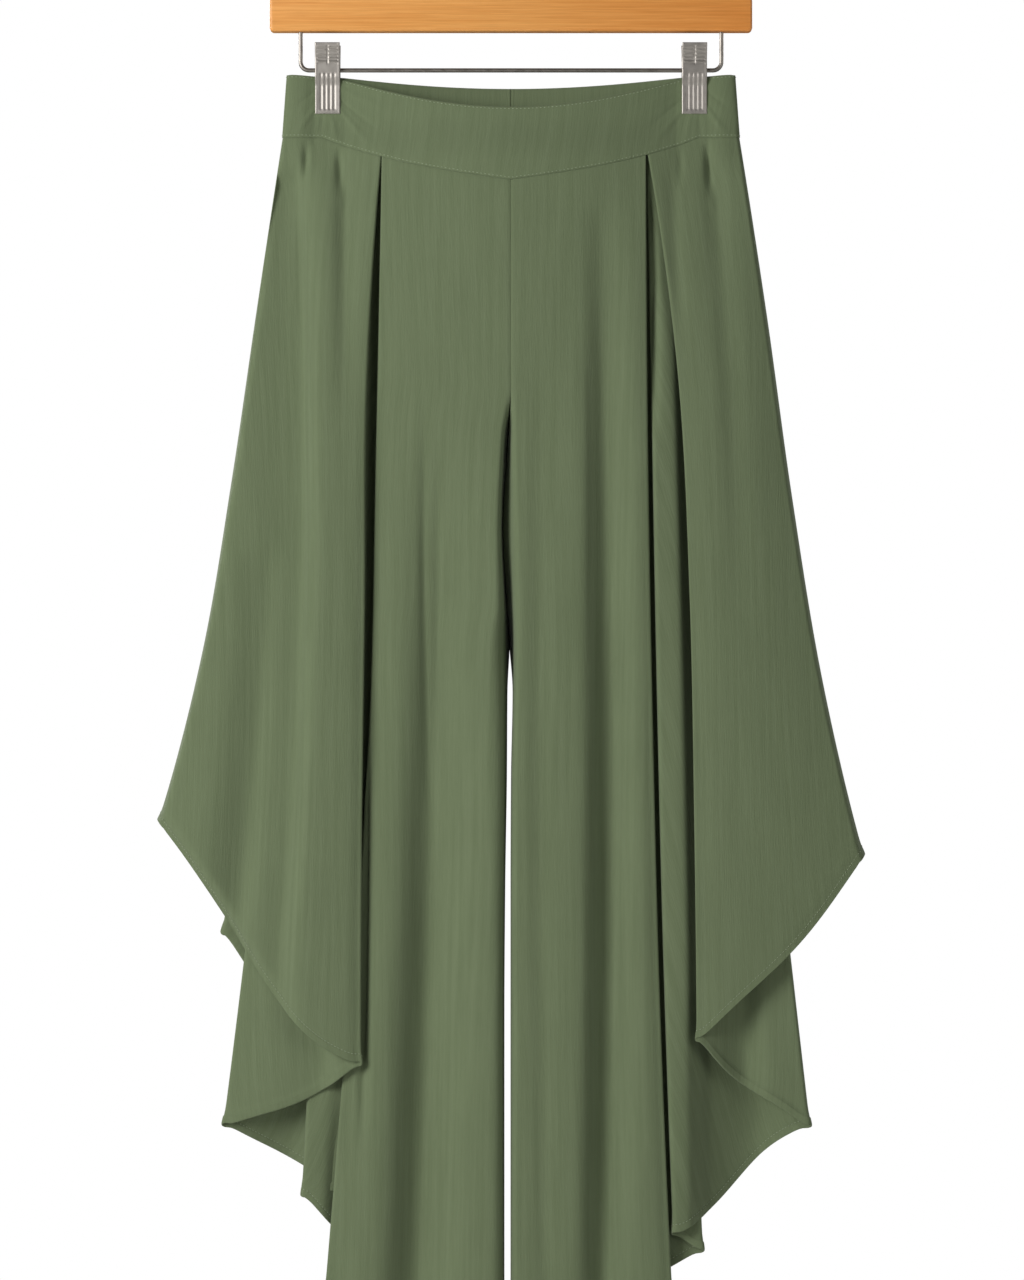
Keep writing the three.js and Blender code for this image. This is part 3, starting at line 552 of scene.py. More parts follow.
INNER_EDGES = {
    Side.RIGHT: InnerEdge(
        edges=(0, 0, 6.2, 9, 5.5, 4, 3.5, 4, 5.5, 6.2, 6.2),
        rounds=(12, 5, 4, 5, 9, 15, 17, 16, 13, 13, 13),
        seams=(0, 0, 3, 7.5, 4, 1.6, 3.5, 4, 5.5, 6.2, 6.2),
    ),
    Side.LEFT: InnerEdge(
        edges=(0, 0, -0.2, 1.5, 2, 2.2, 1.8, 0.4, 0, 0, 0),
        rounds=(6,) * 11,
        seams=(0, 0, -3, -7.5, -4, -1.6, 1.8, 0.4, 0, 0, 0),
    ),
}


def leg_folds(face: Face, side: Side) -> tuple[Fold, ...]:
    """The folds of one face of a leg, from its panel to its side."""
    if face is Face.FRONT and side is Side.RIGHT:
        return (
            Fold("panel_edge", (113.5, 118.3, 124.6, 143.5, 164), 1080, 26, 21, 0, 3),
            Fold("pleat_root", (103, 106, 111, 121, 130), 1046, 15, 15, 1),
            Fold("low_outer", (128, 149, 161, 172.5, 184), 988, 10, 11, 2),
            Fold("low_inner", (116, 125, 131, 139, 146), 984, 6.5, 6.5, 3),
            Fold("high_outer", (137, 180, 205, 227, 253.2), 926.6, 3, 8.5, 4, 1),
            Fold("high_inner", (114.6, 126.7, 128.6, 131.2, 132), 871, 12.5, 25, 1, 9.5, -2),
            Fold("side", (201.5, 224.3, 246.4, 272.1, 310.8), 660, 29, 20, 0, 28, 8, 3.0, 9.0),
        )
    if face is Face.FRONT:
        return (
            Fold("panel_edge", (118.6, 120, 124.4, 131, 141.8), 1082, 26, 24, 0, 3),
            Fold("pleat_root", (107, 107, 108, 110, 112), 1068, 18, 18, 1),
            Fold("low_outer", (129, 145, 154, 161, 168.7), 1038, 4, 4, 4),
            Fold("low_inner", (119.8, 124.2, 128.7, 134.5, 142.8), 1021.7, 9.5, 9.5, 3),
            Fold("high_outer", (137, 186, 214, 239, 263.6), 928.4, 20, 3, 2, 0, 5.5),
            Fold("high_inner", (120.8, 146.9, 157, 161, 163.2), 849.6, 12, 27, 1, 8, -3.5, 2.2),
            Fold("side", (201.5, 226, 248, 274.2, 311), 690, 30, 18, 0, 13, -3.5, 2.6, 1.0),
        )
    if side is Side.RIGHT:
        return (
            Fold("panel_edge", (116, 119, 125, 140, 158), 1078, 26, 20, 0, 3),
            Fold("pleat_root", (105, 107, 110, 116, 122), 1046, 15, 15, 1),
            Fold("low_outer", (129, 144, 153, 162, 172), 985, 10, 11, 2),
            Fold("low_inner", (118, 123, 127, 133, 140), 930, 6.5, 6.5, 3),
            Fold("high_outer", (137, 176, 201, 229, 255.6), 758.6, 3, 8.5, 4),
            Fold("high_inner", (119.5, 148, 166, 184, 208), 706, 12.5, 23, 1, 4),
            Fold("side", (201.5, 224.3, 246.4, 272.1, 310.8), 660, 28, 18, 0, 3, 0, 2.6, 4.0),
        )
    return (
        Fold("panel_edge", (116, 119, 123, 129, 139), 1080, 25, 22, 0, 3),
        Fold("pleat_root", (105, 106, 107, 109, 111), 1054, 17, 17, 1),
        Fold("low_outer", (129, 141, 148, 154, 160), 1000, 5, 5, 4),
        Fold("low_inner", (118, 121, 125, 130, 136), 942, 11, 11, 3),
        Fold("high_outer", (137, 172, 196, 217, 238), 762, 17, 8, 2),
        Fold("high_inner", (119.5, 146, 162, 178, 196), 728, 12, 23, 1, 3),
        Fold("side", (201.5, 226, 248, 274.2, 311), 690, 28, 18, 0, 3, 0, 2.6, 4.0),
    )


def leg_waves(face: Face, side: Side) -> tuple[Wave, ...]:
    """The soft folds and creases on one face of a leg."""
    panel, lower, apron = "panel_edge", "high_outer", "side"
    if face is Face.FRONT and side is Side.RIGHT:
        return (
            Wave("panel_valley", (300, 1095), (60, 70, 86), (30, 20), (0, -20, -25), panel),
            Wave("panel_line", (280, 660), (76, 77, 73), (4, 3), (0, -2.0, 0), panel),
            Wave("panel_line_in", (330, 560), (64, 65, 65), (4, 3), (0, -0.8, 0), panel),
            Wave("panel_ridge", (300, 1095), (46, 49, 50), (18, 18), (1, 1.8, 2), panel),
            Wave("panel_roll", (200, 1080), (118, 128, 164), (16, 30), (-1, -3, -3), panel),
            Wave("apron_valley", (85, 760), (192, 185, 204), (9, 46), (-13, -13.5, -8), apron),
            Wave("hem_valley", (430, 760), (216, 227, 244), (12, 22), (-2, -6, -9), apron),
            Wave("apron_ridge", (90, 870), (163, 174, 186), (40, 11), (2.5, 4.5, 4.5), apron),
            Wave("clip_valley", (75, 300), (147, 147, 146), (12, 8), (-4.5, -3.5, 0), apron),
            Wave("gather_out", (60, 130), (180.5, 182, 186), (2.8, 3.6), (-17, -2.5, 0), apron),
            Wave("gather_in", (60, 120), (151.5, 151, 149), (3.4, 3.2), (-22, -3.5, 0), apron),
            Wave("gather_low", (64, 105), (138, 137, 135), (2.4, 2.4), (-8, -1.5, 0), apron),
            Wave("gap", (90, 1000), (116, 123, 133), (6, 5), (-5, -8, -8), "low_outer"),
            Wave("edge_gap", (540, 950), (128, 129.5, 130.5), (4, 3.4), (-2, -8.5, 0), panel),
            Wave("under_dip", (850, 960), (200, 200, 200), (36, 34), (0, -12, -20), lower),
            Wave("low_tuck", (880, 1000), (146, 150, 151), (20, 10), (-1, -5, -8), "low_outer"),
            Wave("under_valley", (650, 915), (170, 168, 166), (8, 30), (0, -5, -9), "high_inner"),
            Wave("apron_roll", (150, 871), (110, 120, 123), (12, 12), (-1, -6, -7), apron),
        )
    if face is Face.FRONT:
        return (
            Wave("panel_valley", (120, 1095), (80, 83.5, 78), (12, 18), (-1.5, -20, -18), panel),
            Wave("panel_line", (260, 560), (69, 70, 68), (3, 4), (-0.6, -1.2, 0), panel),
            Wave("inner_valley", (280, 1095), (24, 25, 30), (7, 11), (-0.6, -2.0, -1.5), panel),
            Wave("panel_roll", (140, 1080), (128, 134, 151), (13, 30), (-2, -7, -8), panel),
            Wave("lower_roll", (200, 950), (151, 169, 177), (8, 70), (-1, -9, -8), lower),
            Wave("under_valley", (600, 915), (196, 201, 208), (20, 14), (0, -9, -11), "high_inner"),
            Wave("lower_valley", (800, 960), (212, 214, 216), (46, 32), (0, -16, -22), lower),
            Wave("lower_tuck", (110, 330), (121, 124, 124), (12, 5), (-4, -9, 0), lower),
            Wave("apron_valley", (82, 620), (180, 196, 214), (10, 12), (-5.5, -1.6, 0), apron),
            Wave("apron_dip", (80, 240), (140, 146, 152), (6, 6), (-1.4, -1.0, 0), apron),
            Wave("gather_out", (60, 125), (173.5, 175, 178), (3.0, 3.4), (-20, -3, 0), apron),
            Wave("gather_in", (62, 115), (150, 149, 147), (2.6, 2.6), (-10, -2, 0), apron),
            Wave("lower_flat", (200, 1000), (141, 150, 157), (18, 5), (3, 5, 5), lower),
            Wave("apron_rim", (140, 849), (140, 159, 164), (5, 12), (-1, -2, -2), apron),
        )
    if side is Side.RIGHT:
        return (
            Wave("panel_valley", (260, 1095), (62, 67, 74), (20, 15), (0, -8, -12), panel),
            Wave("seat_ridge", (110, 700), (88, 92, 96), (16, 16), (2, 2.5, 3), panel),
            Wave("panel_roll", (200, 1080), (116, 125, 158), (16, 30), (-1, -3, -3), panel),
            Wave("apron_valley", (90, 700), (170, 202, 236), (12, 14), (-3, -4, -5), apron),
            Wave("apron_ridge", (90, 700), (158, 176, 196), (20, 14), (1, 2.5, 3), apron),
        )
    return (
        Wave("panel_valley", (220, 1095), (70, 68, 66), (14, 20), (0, -8, -12), panel),
        Wave("panel_inner_ridge", (400, 1095), (30, 32, 34), (13, 13), (0, 1.8, 3), panel),
        Wave("panel_roll", (200, 1080), (116, 123, 139), (16, 30), (-1, -3, -3), panel),
        Wave("apron_valley", (90, 700), (181, 212, 244), (12, 14), (-3, -4, -5), apron),
        Wave("apron_ridge", (90, 700), (164, 184, 204), (18, 14), (1, 2, 3), apron),
    )


@dataclass
class Cloth:
    """A grid of middle points of a piece of cloth, in millimetres, with its rows from top to hem."""

    points: Grid
    thickness: float
    hem: bool = False
    hem_fold: float = 7.5
    grain: int = 0
    wrong_side: float = 3.0
    _normals: Grid | None = field(default=None, repr=False)

    def normals(self) -> Grid:
        """The unit normal at each point: the way down the cloth crossed with the way across it."""
        if self._normals is None:
            down = np.gradient(self.points, axis=0)
            across = np.gradient(self.points, axis=1)
            normal = np.cross(down, across)
            self._normals = normal / (np.linalg.norm(normal, axis=2, keepdims=True) + 1e-12)
        return self._normals

    def lengths(self) -> tuple[Values, Values]:
        """Lengths along each row from the grain's column and down each column, in millimetres."""
        across = np.linalg.norm(np.diff(self.points, axis=1), axis=2)
        down = np.linalg.norm(np.diff(self.points, axis=0), axis=2)
        u = np.concatenate((np.zeros((len(self.points), 1)), np.cumsum(across, axis=1)), axis=1)
        u = u - u[:, self.grain][:, None] + self.points[0, self.grain, 0]
        v = np.concatenate((np.zeros((1, self.points.shape[1])), np.cumsum(down, axis=0)), axis=0)
        return u, v

    def area(self) -> float:
        """Area of the cloth in square metres."""
        p = self.points
        first = np.cross(p[1:, :-1] - p[:-1, :-1], p[:-1, 1:] - p[:-1, :-1])
        second = np.cross(p[1:, :-1] - p[1:, 1:], p[:-1, 1:] - p[1:, 1:])
        total = np.linalg.norm(first, axis=2).sum() + np.linalg.norm(second, axis=2).sum()
        return float(total) / 2 * MM * MM

    def shell(self, name: str, outward: int) -> Object:
        """A closed shell of the cloth, with its hem turned to the wrong side.

        Args:
            name: the piece's name.
            outward: 1 where the normals leave the garment, and -1 where they enter it.

        Returns:
            The object, with the cloth's own map.
        """
        normals = self.normals() * outward
        u, v = self.lengths()
        half = np.full(self.points.shape[:2], self.thickness / 2)
        inner = half.copy()
        if self.hem:
            rest = v[-1] - v
            turned = 1 - smooth(rest, self.hem_fold - 0.2, self.hem_fold + 0.5)
            inner = inner + 0.7 * self.thickness * turned * (1 - np.exp(-rest / 0.5))
            half = half - 0.25 * bell(rest - self.hem_fold + 0.5, 0.9)
        right = self.points + normals * half[..., None]
        wrong = self.points - normals * inner[..., None]
        faces, edge = grid_faces(*u.shape)
        flipped = faces[:, ::-1]
        if outward < 0:
            faces, flipped, edge = flipped, faces, edge[:, ::-1]
        points = np.concatenate((right.reshape(-1, 3), wrong.reshape(-1, 3)))
        uv = np.stack((u, v), axis=-1).reshape(-1, 2) * MM
        faces = np.concatenate((faces, flipped + u.size, edge))
        return mesh_of(name, points, faces, np.concatenate((uv, uv + self.wrong_side)))

    def line(self, rest: float, lift: float, outward: int) -> Grid:
        """A line of points on the right side, at a distance above the lower edge.

        Args:
            rest: distance above the lower edge.
            lift: distance over the cloth's middle.
            outward: 1 where the normals leave the garment, and -1 where they enter it.

        Returns:
            One point for each column.
        """
        v = self.lengths()[1]
        lifted = self.points + self.normals() * outward * lift
        line = []
        for column in range(v.shape[1]):
            place = v[-1, column] - rest
            line.append([np.interp(place, v[:, column], lifted[:, column, axis]) for axis in range(3)])
        return np.array(line)


# ---- Waistband ----------------------------------------------------------------------------------


@dataclass(frozen=True)
class Pull:
    """A short crease on the waistband that a clip pulls into the cloth, from one place to another."""

    start: tuple[float, float]
    end: tuple[float, float]
    width: float
    rise: float

    def at(self, out: Values, drop: Values) -> Values:
        """How far it lifts the cloth at a place."""
        x0, y0 = self.start
        x1, y1 = self.end
        length = math.hypot(x1 - x0, y1 - y0)
        ux, uy = (x1 - x0) / length, (y1 - y0) / length
        run = ((out - x0) * ux + (drop - y0) * uy) / length
        off = (out - x0) * -uy + (drop - y0) * ux
        spread = self.width * (0.6 + 0.8 * np.clip(run, 0, 1))
        ends = smooth(run, -0.15, 0.15) * (1 - smooth(run, 0.55, 1.1))
        return self.rise * np.exp(-((off / spread) ** 2)) * ends


@dataclass(frozen=True)
class Waistband:
    """One piece of the faced waistband, from side to side, or from the centre to one side."""

    cut: Cut
    face: Face
    sides: tuple[Side, ...]
    pulls: tuple[Pull, ...] = ()
    column_step: float = 1.6
    rows: int = 46
    seam_roll: float = 0.9
    seam_fade: float = 1.1
    top_fade: float = 0.8
    centre_roll: float = 0.4

    def build(self) -> Cloth:
        """The grid of the band's middle."""
        cut = self.cut
        flat = np.linspace(0, 1 - 6 / cut.side_out_top, int(cut.side_out_top / self.column_step))
        ends = np.array([5, 4, 3.2, 2.5, 1.9, 1.4, 1.0, 0.7, 0.4, 0.2, 0.08, 0.0])
        half = np.concatenate((flat, 1 - ends / cut.side_out_top))
        if len(self.sides) == 2:
            reach = np.concatenate((-half[:0:-1], half))
        else:
            sign = self.sides[0].value
            reach = sign * half
            reach[0] = sign * cut.half_gap / cut.side_out_top
        middle = np.linspace(0.05, 0.95, self.rows)
        share = np.concatenate((np.linspace(0, 0.03, 4), middle, np.linspace(0.97, 1, 4)))[:, None]
        side_out = mix(cut.side_out_top, cut.side_out_seam, share)
        out = reach[None, :] * side_out
        top, low = cut.band_top(out, self.face), cut.seam_drop(out, self.face) - cut.half_gap
        drop = mix(top, low, share)
        turned = np.clip((np.abs(out) - side_out + cut.side_round) / cut.side_round, 0, 1)
        depth = cut.band_depth(out, drop) * np.sqrt(1 - turned**2)
        free = 1 - smooth(turned, 0, 0.8)
        depth = depth + free * sum((pull.at(out, drop) for pull in self.pulls), np.zeros_like(out))
        rolled = np.exp(-(low - drop) / self.seam_fade) + 0.5 * np.exp(-(drop - top) / self.top_fade)
        depth = depth - free * self.seam_roll * rolled
        if len(self.sides) == 1:
            depth = depth - self.centre_roll * np.exp(-np.abs(out) / self.seam_fade)
        depth = self.face.value * np.maximum(depth, cut.half_gap)
        return Cloth(np.stack((out, depth, cut.z(drop)), axis=-1), cut.band_cloth)


# ---- Leg cloth ----------------------------------------------------------------------------------


@dataclass(frozen=True)
class LegCloth:
    """The cloth of one face of a leg, folded from its inner seam to its side."""

    cut: Cut
    face: Face
    side: Side
    column_step: float = 3.0
    row_step: float = 6.5
    turn_steps: int = 9
    nominal: float = 1000.0
    ear_reach: float = 11.0
    tip_reach: float = 6.0
    curl_reach: float = 10.0
    swell: float = 5.0
    swell_reach: float = 26.0
    corner_share: float = 0.4
    seam_roll: float = 0.8
    roll_reach: float = 1.4

    def shares(self) -> Values:
        """Shares of the length at each row, closer together at the seam and the hem."""
        length = self.nominal
        near = np.array([0, 0.6, 1.3, 2.2, 3.4, 5.0]) / length
        far = 1 - np.array([9.5, 8.6, 7.9, 7.3, 6.7, 6.0, 5.0, 3.5, 1.8, 0.6, 0.0]) / length
        return np.concatenate((near, np.arange(9.0, length - 13, self.row_step) / length, far))

    def wave_rise(self, fold: Fold, out: Values, drop: Values) -> Values:
        """How far the soft folds push out the cloth that runs to a fold."""
        waves = (wave for wave in leg_waves(self.face, self.side) if wave.on in ("", fold.name))
        return sum((wave.at(out, drop) for wave in waves), np.zeros_like(out))

    def layer_depth(self, fold: Fold, share: float, out: Values, drop: Values) -> Values:
        """Depth of the cloth that ends at a fold.

        Args:
            fold: the fold.
            share: how far along the cloth's width the place is.
            out: distance from the centre line.
            drop: drop of the place.

        Returns:
            The depth at each place.
        """
        cut = self.cut
        seam = cut.seam_drop(out, self.face)
        held = np.minimum(np.abs(out), cut.side_out_seam - cut.side_round)
        at_seam = cut.band_depth(held, seam) - fold.rank * cut.layer_pitch
        filled = 1 - (1 - np.clip((drop - seam) / cut.fill_drop, 0, 1)) ** 2
        low = mix(fold.near, fold.far, share**fold.bend)
        wave = self.wave_rise(fold, out, drop) * smooth(drop, seam, seam + 45)
        return mix(at_seam, low, filled) + wave

    def inner_drop(self, share: Values) -> Values:
        """Drop of the inner boundary, level with the other face's below the crotch."""
        cut = self.cut
        point = cut.front_point + cut.half_gap
        raised = point - float(cut.seam_drop(np.array(0.0), self.face)) - cut.half_gap
        return mix(point, cut.inseam_hem, share) - raised * np.maximum(0, 1 - share / 0.4)

    def seam_sag(self, top_out: float, straight: float, share: Values) -> Values:
        """How much lower the waist seam runs at a place than a straight line between two others."""
        seam = float(self.cut.seam_drop(np.array(top_out), self.face)) + self.cut.half_gap
        return (seam - straight) * (1 - share) ** 3

    def inner_strip(self, panel: Fold, share: Values) -> tuple[list[tuple[Values, ...]], dict]:
        """The strip that turns away from the panel to the seam between the legs.

        Args:
            panel: the fold at the panel's far edge.
            share: shares of the length.

        Returns:
            Its columns of out, depth and drop, and where the flat panel starts.
        """
        cut, front = self.cut, self.face is Face.FRONT
        level = self.inner_drop(share)
        inner = INNER_EDGES[self.side]
        edge, width, seam, seam_depth = (
            soft_table(level, inner.drops, heights)
            for heights in (inner.edges, inner.rounds, inner.seams, inner.seam_depths)
        )
        joined = level < cut.crotch + 1
        opened = (
            smooth(level, cut.fork_top, cut.fork_open)
            if front
            else smooth(level, cut.crotch - cut.crotch_turn, cut.crotch + cut.crotch_turn)
        )
        beside = np.where(joined, cut.half_gap + cut.cloth / 2 * np.sin(opened * math.pi / 2), 0)
        seam_out = np.where(joined & (not front), 0, seam) + beside
        edge_out = edge if front else edge * opened
        seam_y = (1 if front else -1) * seam_depth + cut.half_gap

        def depth_at(out: Values) -> Values:
            """Depth of the flat panel."""
            return self.layer_depth(panel, 0, out, level)

        flat = edge_out + width
        at_edge = depth_at(edge_out)
        knots_x = (seam_out, np.maximum(edge_out + 0.5, seam_out), edge_out - 0.6, flat)
        knots_y = (seam_y, mix(seam_y, at_edge, 0.45), at_edge, depth_at(flat))
        straight = float(cut.seam_drop(np.array(0.0), self.face)) + cut.half_gap
        columns = []
        for t in (0, 0.04, 0.1, 0.18, 0.27, 0.36, 0.45, 0.54, 0.62, 0.7, 0.78, 0.86, 0.93):
            weights = ((1 - t) ** 3, 3 * t * (1 - t) ** 2, 3 * t * t * (1 - t), t**3)
            bent_x = sum(w * k for w, k in zip(weights, knots_x))
            bent_y = sum(w * k for w, k in zip(weights, knots_y))
            flat_out = np.maximum(cut.half_gap, edge_out + t * width)
            roll = 0.8 * np.exp(-flat_out / 1.5) * (1 - opened)
            out, depth = mix(flat_out, bent_x, opened), mix(depth_at(flat_out) - roll, bent_y, opened)
            columns.append((out, depth, level + self.seam_sag(t * float(width[0]), straight, share)))
        top_round = float(width[0])
        top = float(cut.seam_drop(np.array(top_round), self.face)) + cut.half_gap
        drop = level + (top - straight) * (1 - share) ** 3
        return columns, {"out": flat, "drop": drop, "top": top, "top_out": top_round}

    def build(self) -> tuple[Cloth, Cloth]:
        """The panel, which ends inside its pleat, and the drape beyond it."""
        cut = self.cut
        share = self.shares()
        rest = (1 - share) * self.nominal
        folds = leg_folds(self.face, self.side)
        columns, start = self.inner_strip(folds[0], share)
        split, edges = 0, []
        for number, fold in enumerate(folds):
            top = float(cut.seam_drop(np.array(fold.out[0]), self.face)) + cut.half_gap
            line_out, line_drop = along(fold.out, share), mix(top, fold.hem, share)
            is_side = number == len(folds) - 1
            heading = 1.0 if fold.out[-1] > float(start["out"][-1]) else -1.0
            line_out = line_out + heading * cut.tip_ear * bell(rest, self.ear_reach)
            if is_side:
                reach = mix(cut.side_round, cut.side_round_low, smooth(share, 0, 0.3))
            else:
                reach = cut.fold_round * smooth(share, -0.25, 0.35) + 1.2 * share**40
            top_fold = cut.fold_round * float(smooth(np.array(0.0), -0.25, 0.35))
            top_reach = cut.side_round if is_side else top_fold
            end = line_out - heading * reach
            top_end = fold.out[0] - heading * top_reach
            steps = max(3, int(abs(float(end[-1] - start["out"][-1])) / self.column_step))
            if number == 2:
                split = len(columns)
            for column in range(steps + 1):
                t = column / steps
                hung = fold.bow * math.sin(math.pi * t) + fold.swing * math.sin(2 * math.pi * t)
                top_out, straight = mix(start["top_out"], top_end, t), mix(start["top"], top, t)
                sag = hung * share**3 + self.seam_sag(top_out, straight, share)
                out, drop = mix(start["out"], end, t), mix(start["drop"], line_drop, t) + sag
                if is_side:
                    drop = drop - self.trimmed(line_out - out) * share**20
                else:
                    drop = drop + self.tip(line_out - out, share)
                if number:
                    drop = drop - self.tip(start["line"] - out, share)
                curled = fold.curl * float(smooth(np.array(t), 0.3, 0.7)) * bell(rest, self.curl_reach)
                columns.append((out, self.layer_depth(fold, t, out, drop) - curled, drop))
            depth = columns[-1][1]
            angles = np.radians(np.linspace(-90, 0 if is_side else 90, self.turn_steps + 2)[1:])
            following = None if is_side else self.layer_depth(folds[number + 1], 0, end, line_drop)
            for angle in angles[: None if is_side else -1]:
                out = end + heading * reach * math.cos(angle)
                if is_side:
                    drop = line_drop - self.trimmed(line_out - out) * share**20
                    columns.append((out, mix(depth, cut.half_gap, 1 + math.sin(angle)), drop))
                else:
                    drop = line_drop - self.tip(reach, share) * math.sin(angle)
                    columns.append((out, mix(depth, following, (1 + math.sin(angle)) / 2), drop))
            edges.append(len(columns))
            start = {"out": end, "line": line_out, "drop": line_drop, "top": top, "top_out": top_end}
        points = np.stack(
            [
                np.stack((self.side.value * out, self.face.value * depth, cut.z(drop)), axis=-1)
                for out, depth, drop in columns
            ],
            axis=1,
        )
        points = self.roll_seam(points, share)
        grain = int(np.argmin(np.abs(np.abs(points[-1, :, 0]) - 60)))
        hung_grain = edges[-2] - split - 1
        return (
            Cloth(points[:, : split + 1], cut.cloth, hem=True, grain=grain),
            Cloth(points[:, split + 1 :], cut.cloth, hem=True, grain=hung_grain),
        )

    def trimmed(self, inside: Values) -> Values:
        """How much the rounded corner takes off the hem, at a distance inside the corner."""
        radius = self.cut.corner_round
        off = np.clip(1 - inside / radius, 0, 1)
        fade = np.exp(-np.maximum(0, inside - radius) / self.swell_reach)
        swell = self.swell * smooth(inside, 0, radius) * fade
        return self.corner_share * radius * (1 - np.sqrt(1 - off**2)) - swell

    def tip(self, inside: Values, share: Values) -> Values:
        """How far the hem bends round the tip of a fold, at a distance from the tip."""
        return self.cut.tip_round * np.exp(-((inside / self.tip_reach) ** 2)) * share**20

    def roll_seam(self, points: Grid, share: Values) -> Grid:
        """Draws the cloth in a little at the waist seam, as a sewn seam does."""
        rest = share * self.nominal
        drawn = self.seam_roll * np.exp(-rest / self.roll_reach)
        points[:, :, 1] -= self.face.value * drawn[:, None]
        return points


def soft_table(value: Values, places: Sequence[float], heights: Sequence[float]) -> Values:
    """A smooth line through the rows of a table, which never swings past them."""
    at = np.clip(np.searchsorted(places, value, side="right") - 1, 0, len(places) - 2)
    x, y = np.asarray(places, float), np.asarray(heights, float)
    slopes = np.diff(y) / np.diff(x)
    tangents = np.zeros_like(y)
    same = slopes[:-1] * slopes[1:] > 0
    tangents[1:-1][same] = 2 / (1 / slopes[:-1][same] + 1 / slopes[1:][same])
    h = x[at + 1] - x[at]
    t = np.clip((value - x[at]) / h, 0, 1)
    return (
        (2 * t**3 - 3 * t**2 + 1) * y[at]
        + (t**3 - 2 * t**2 + t) * h * tangents[at]
        + (3 * t**2 - 2 * t**3) * y[at + 1]
        + (t**3 - t**2) * h * tangents[at + 1]
    )


# ---- Sewing -------------------------------------------------------------------------------------


@dataclass(frozen=True)
class Stitching:
    """A row of machine stitches along a line, made by a tree of geometry nodes."""

    length: float = 2.2
    gap: float = 1.1
    thread: float = 0.55

    def tree(self, material: Material) -> Tree:
        """The tree, which sets a stitch at each step along the line and turns it along the line."""
        tree = bpy.data.node_groups.new("stitches", "GeometryNodeTree")
        face = tree.interface
        face.new_socket("Line", in_out="INPUT", socket_type="NodeSocketGeometry")
        for name in ("Stitch length", "Stitch gap", "Thread width"):
            face.new_socket(name, in_out="INPUT", socket_type="NodeSocketFloat")
        face.new_socket("Stitches", in_out="OUTPUT", socket_type="NodeSocketGeometry")
        given = add_node(tree, "NodeGroupInput").outputs
        length, wide = given["Stitch length"], given["Thread width"]
        parts = {0: length, 1: given["Stitch gap"]}
        step = add_node(tree, "ShaderNodeMath", {"operation": "ADD"}, parts)
        curve = add_node(tree, "GeometryNodeMeshToCurve", links={"Mesh": given["Line"]})
        spacing = {"Curve": curve.outputs[0], "Length": step.outputs[0]}
        spaced = add_node(tree, "GeometryNodeResampleCurve", {"mode": "LENGTH"}, spacing)
        tangent = add_node(tree, "GeometryNodeInputTangent")
        along_line = {"Vector": tangent.outputs[0]}
        turned = add_node(tree, "FunctionNodeAlignEulerToVector", {"axis": "X"}, along_line)
        ball = add_node(tree, "GeometryNodeMeshUVSphere", {"Segments": 6, "Rings": 4, "Radius": 0.5})
        size = add_node(tree, "ShaderNodeCombineXYZ", links={"X": length, "Y": wide, "Z": wide})
        made = {"Points": spaced, "Instance": ball, "Rotation": turned, "Scale": size}
        places = {key: node.outputs[0] for key, node in made.items()}
        laid = add_node(tree, "GeometryNodeInstanceOnPoints", links=places)
        real = add_node(tree, "GeometryNodeRealizeInstances", links={0: laid.outputs[0]})
        balls = {"Geometry": real.outputs[0]}
        dressed = add_node(tree, "GeometryNodeSetMaterial", {"Material": material}, balls)
        add_node(tree, "NodeGroupOutput", links={0: dressed.outputs[0]})
        return tree

    def sew(self, name: str, lines: Sequence[Grid], material: Material) -> Object:
        """Sews rows of stitches.

        Args:
            name: the piece's name.
            lines: the points of each row, in millimetres.
            material: the thread's material.

        Returns:
            The stitches as one mesh.
        """
        points, edges = [], []
        for line in lines:
            first = len(points)
            points += (np.asarray(line) * MM).tolist()
            edges += [(first + i, first + i + 1) for i in range(len(line) - 1)]
        mesh = bpy.data.meshes.new(name + "_line")
        mesh.from_pydata(points, edges, [])
        holder = link_object(name + "_line", mesh)
        modifier = holder.modifiers.new("stitches", "NODES")
        modifier.node_group = self.tree(material)
        sizes = {"Stitch length": self.length, "Stitch gap": self.gap, "Thread width": self.thread}
        for item in modifier.node_group.interface.items_tree:
            if item.in_out == "INPUT" and item.name in sizes:
                modifier[item.identifier] = sizes[item.name] * MM
        return replace_by_mesh(holder, name)


# ---- The garment --------------------------------------------------------------------------------


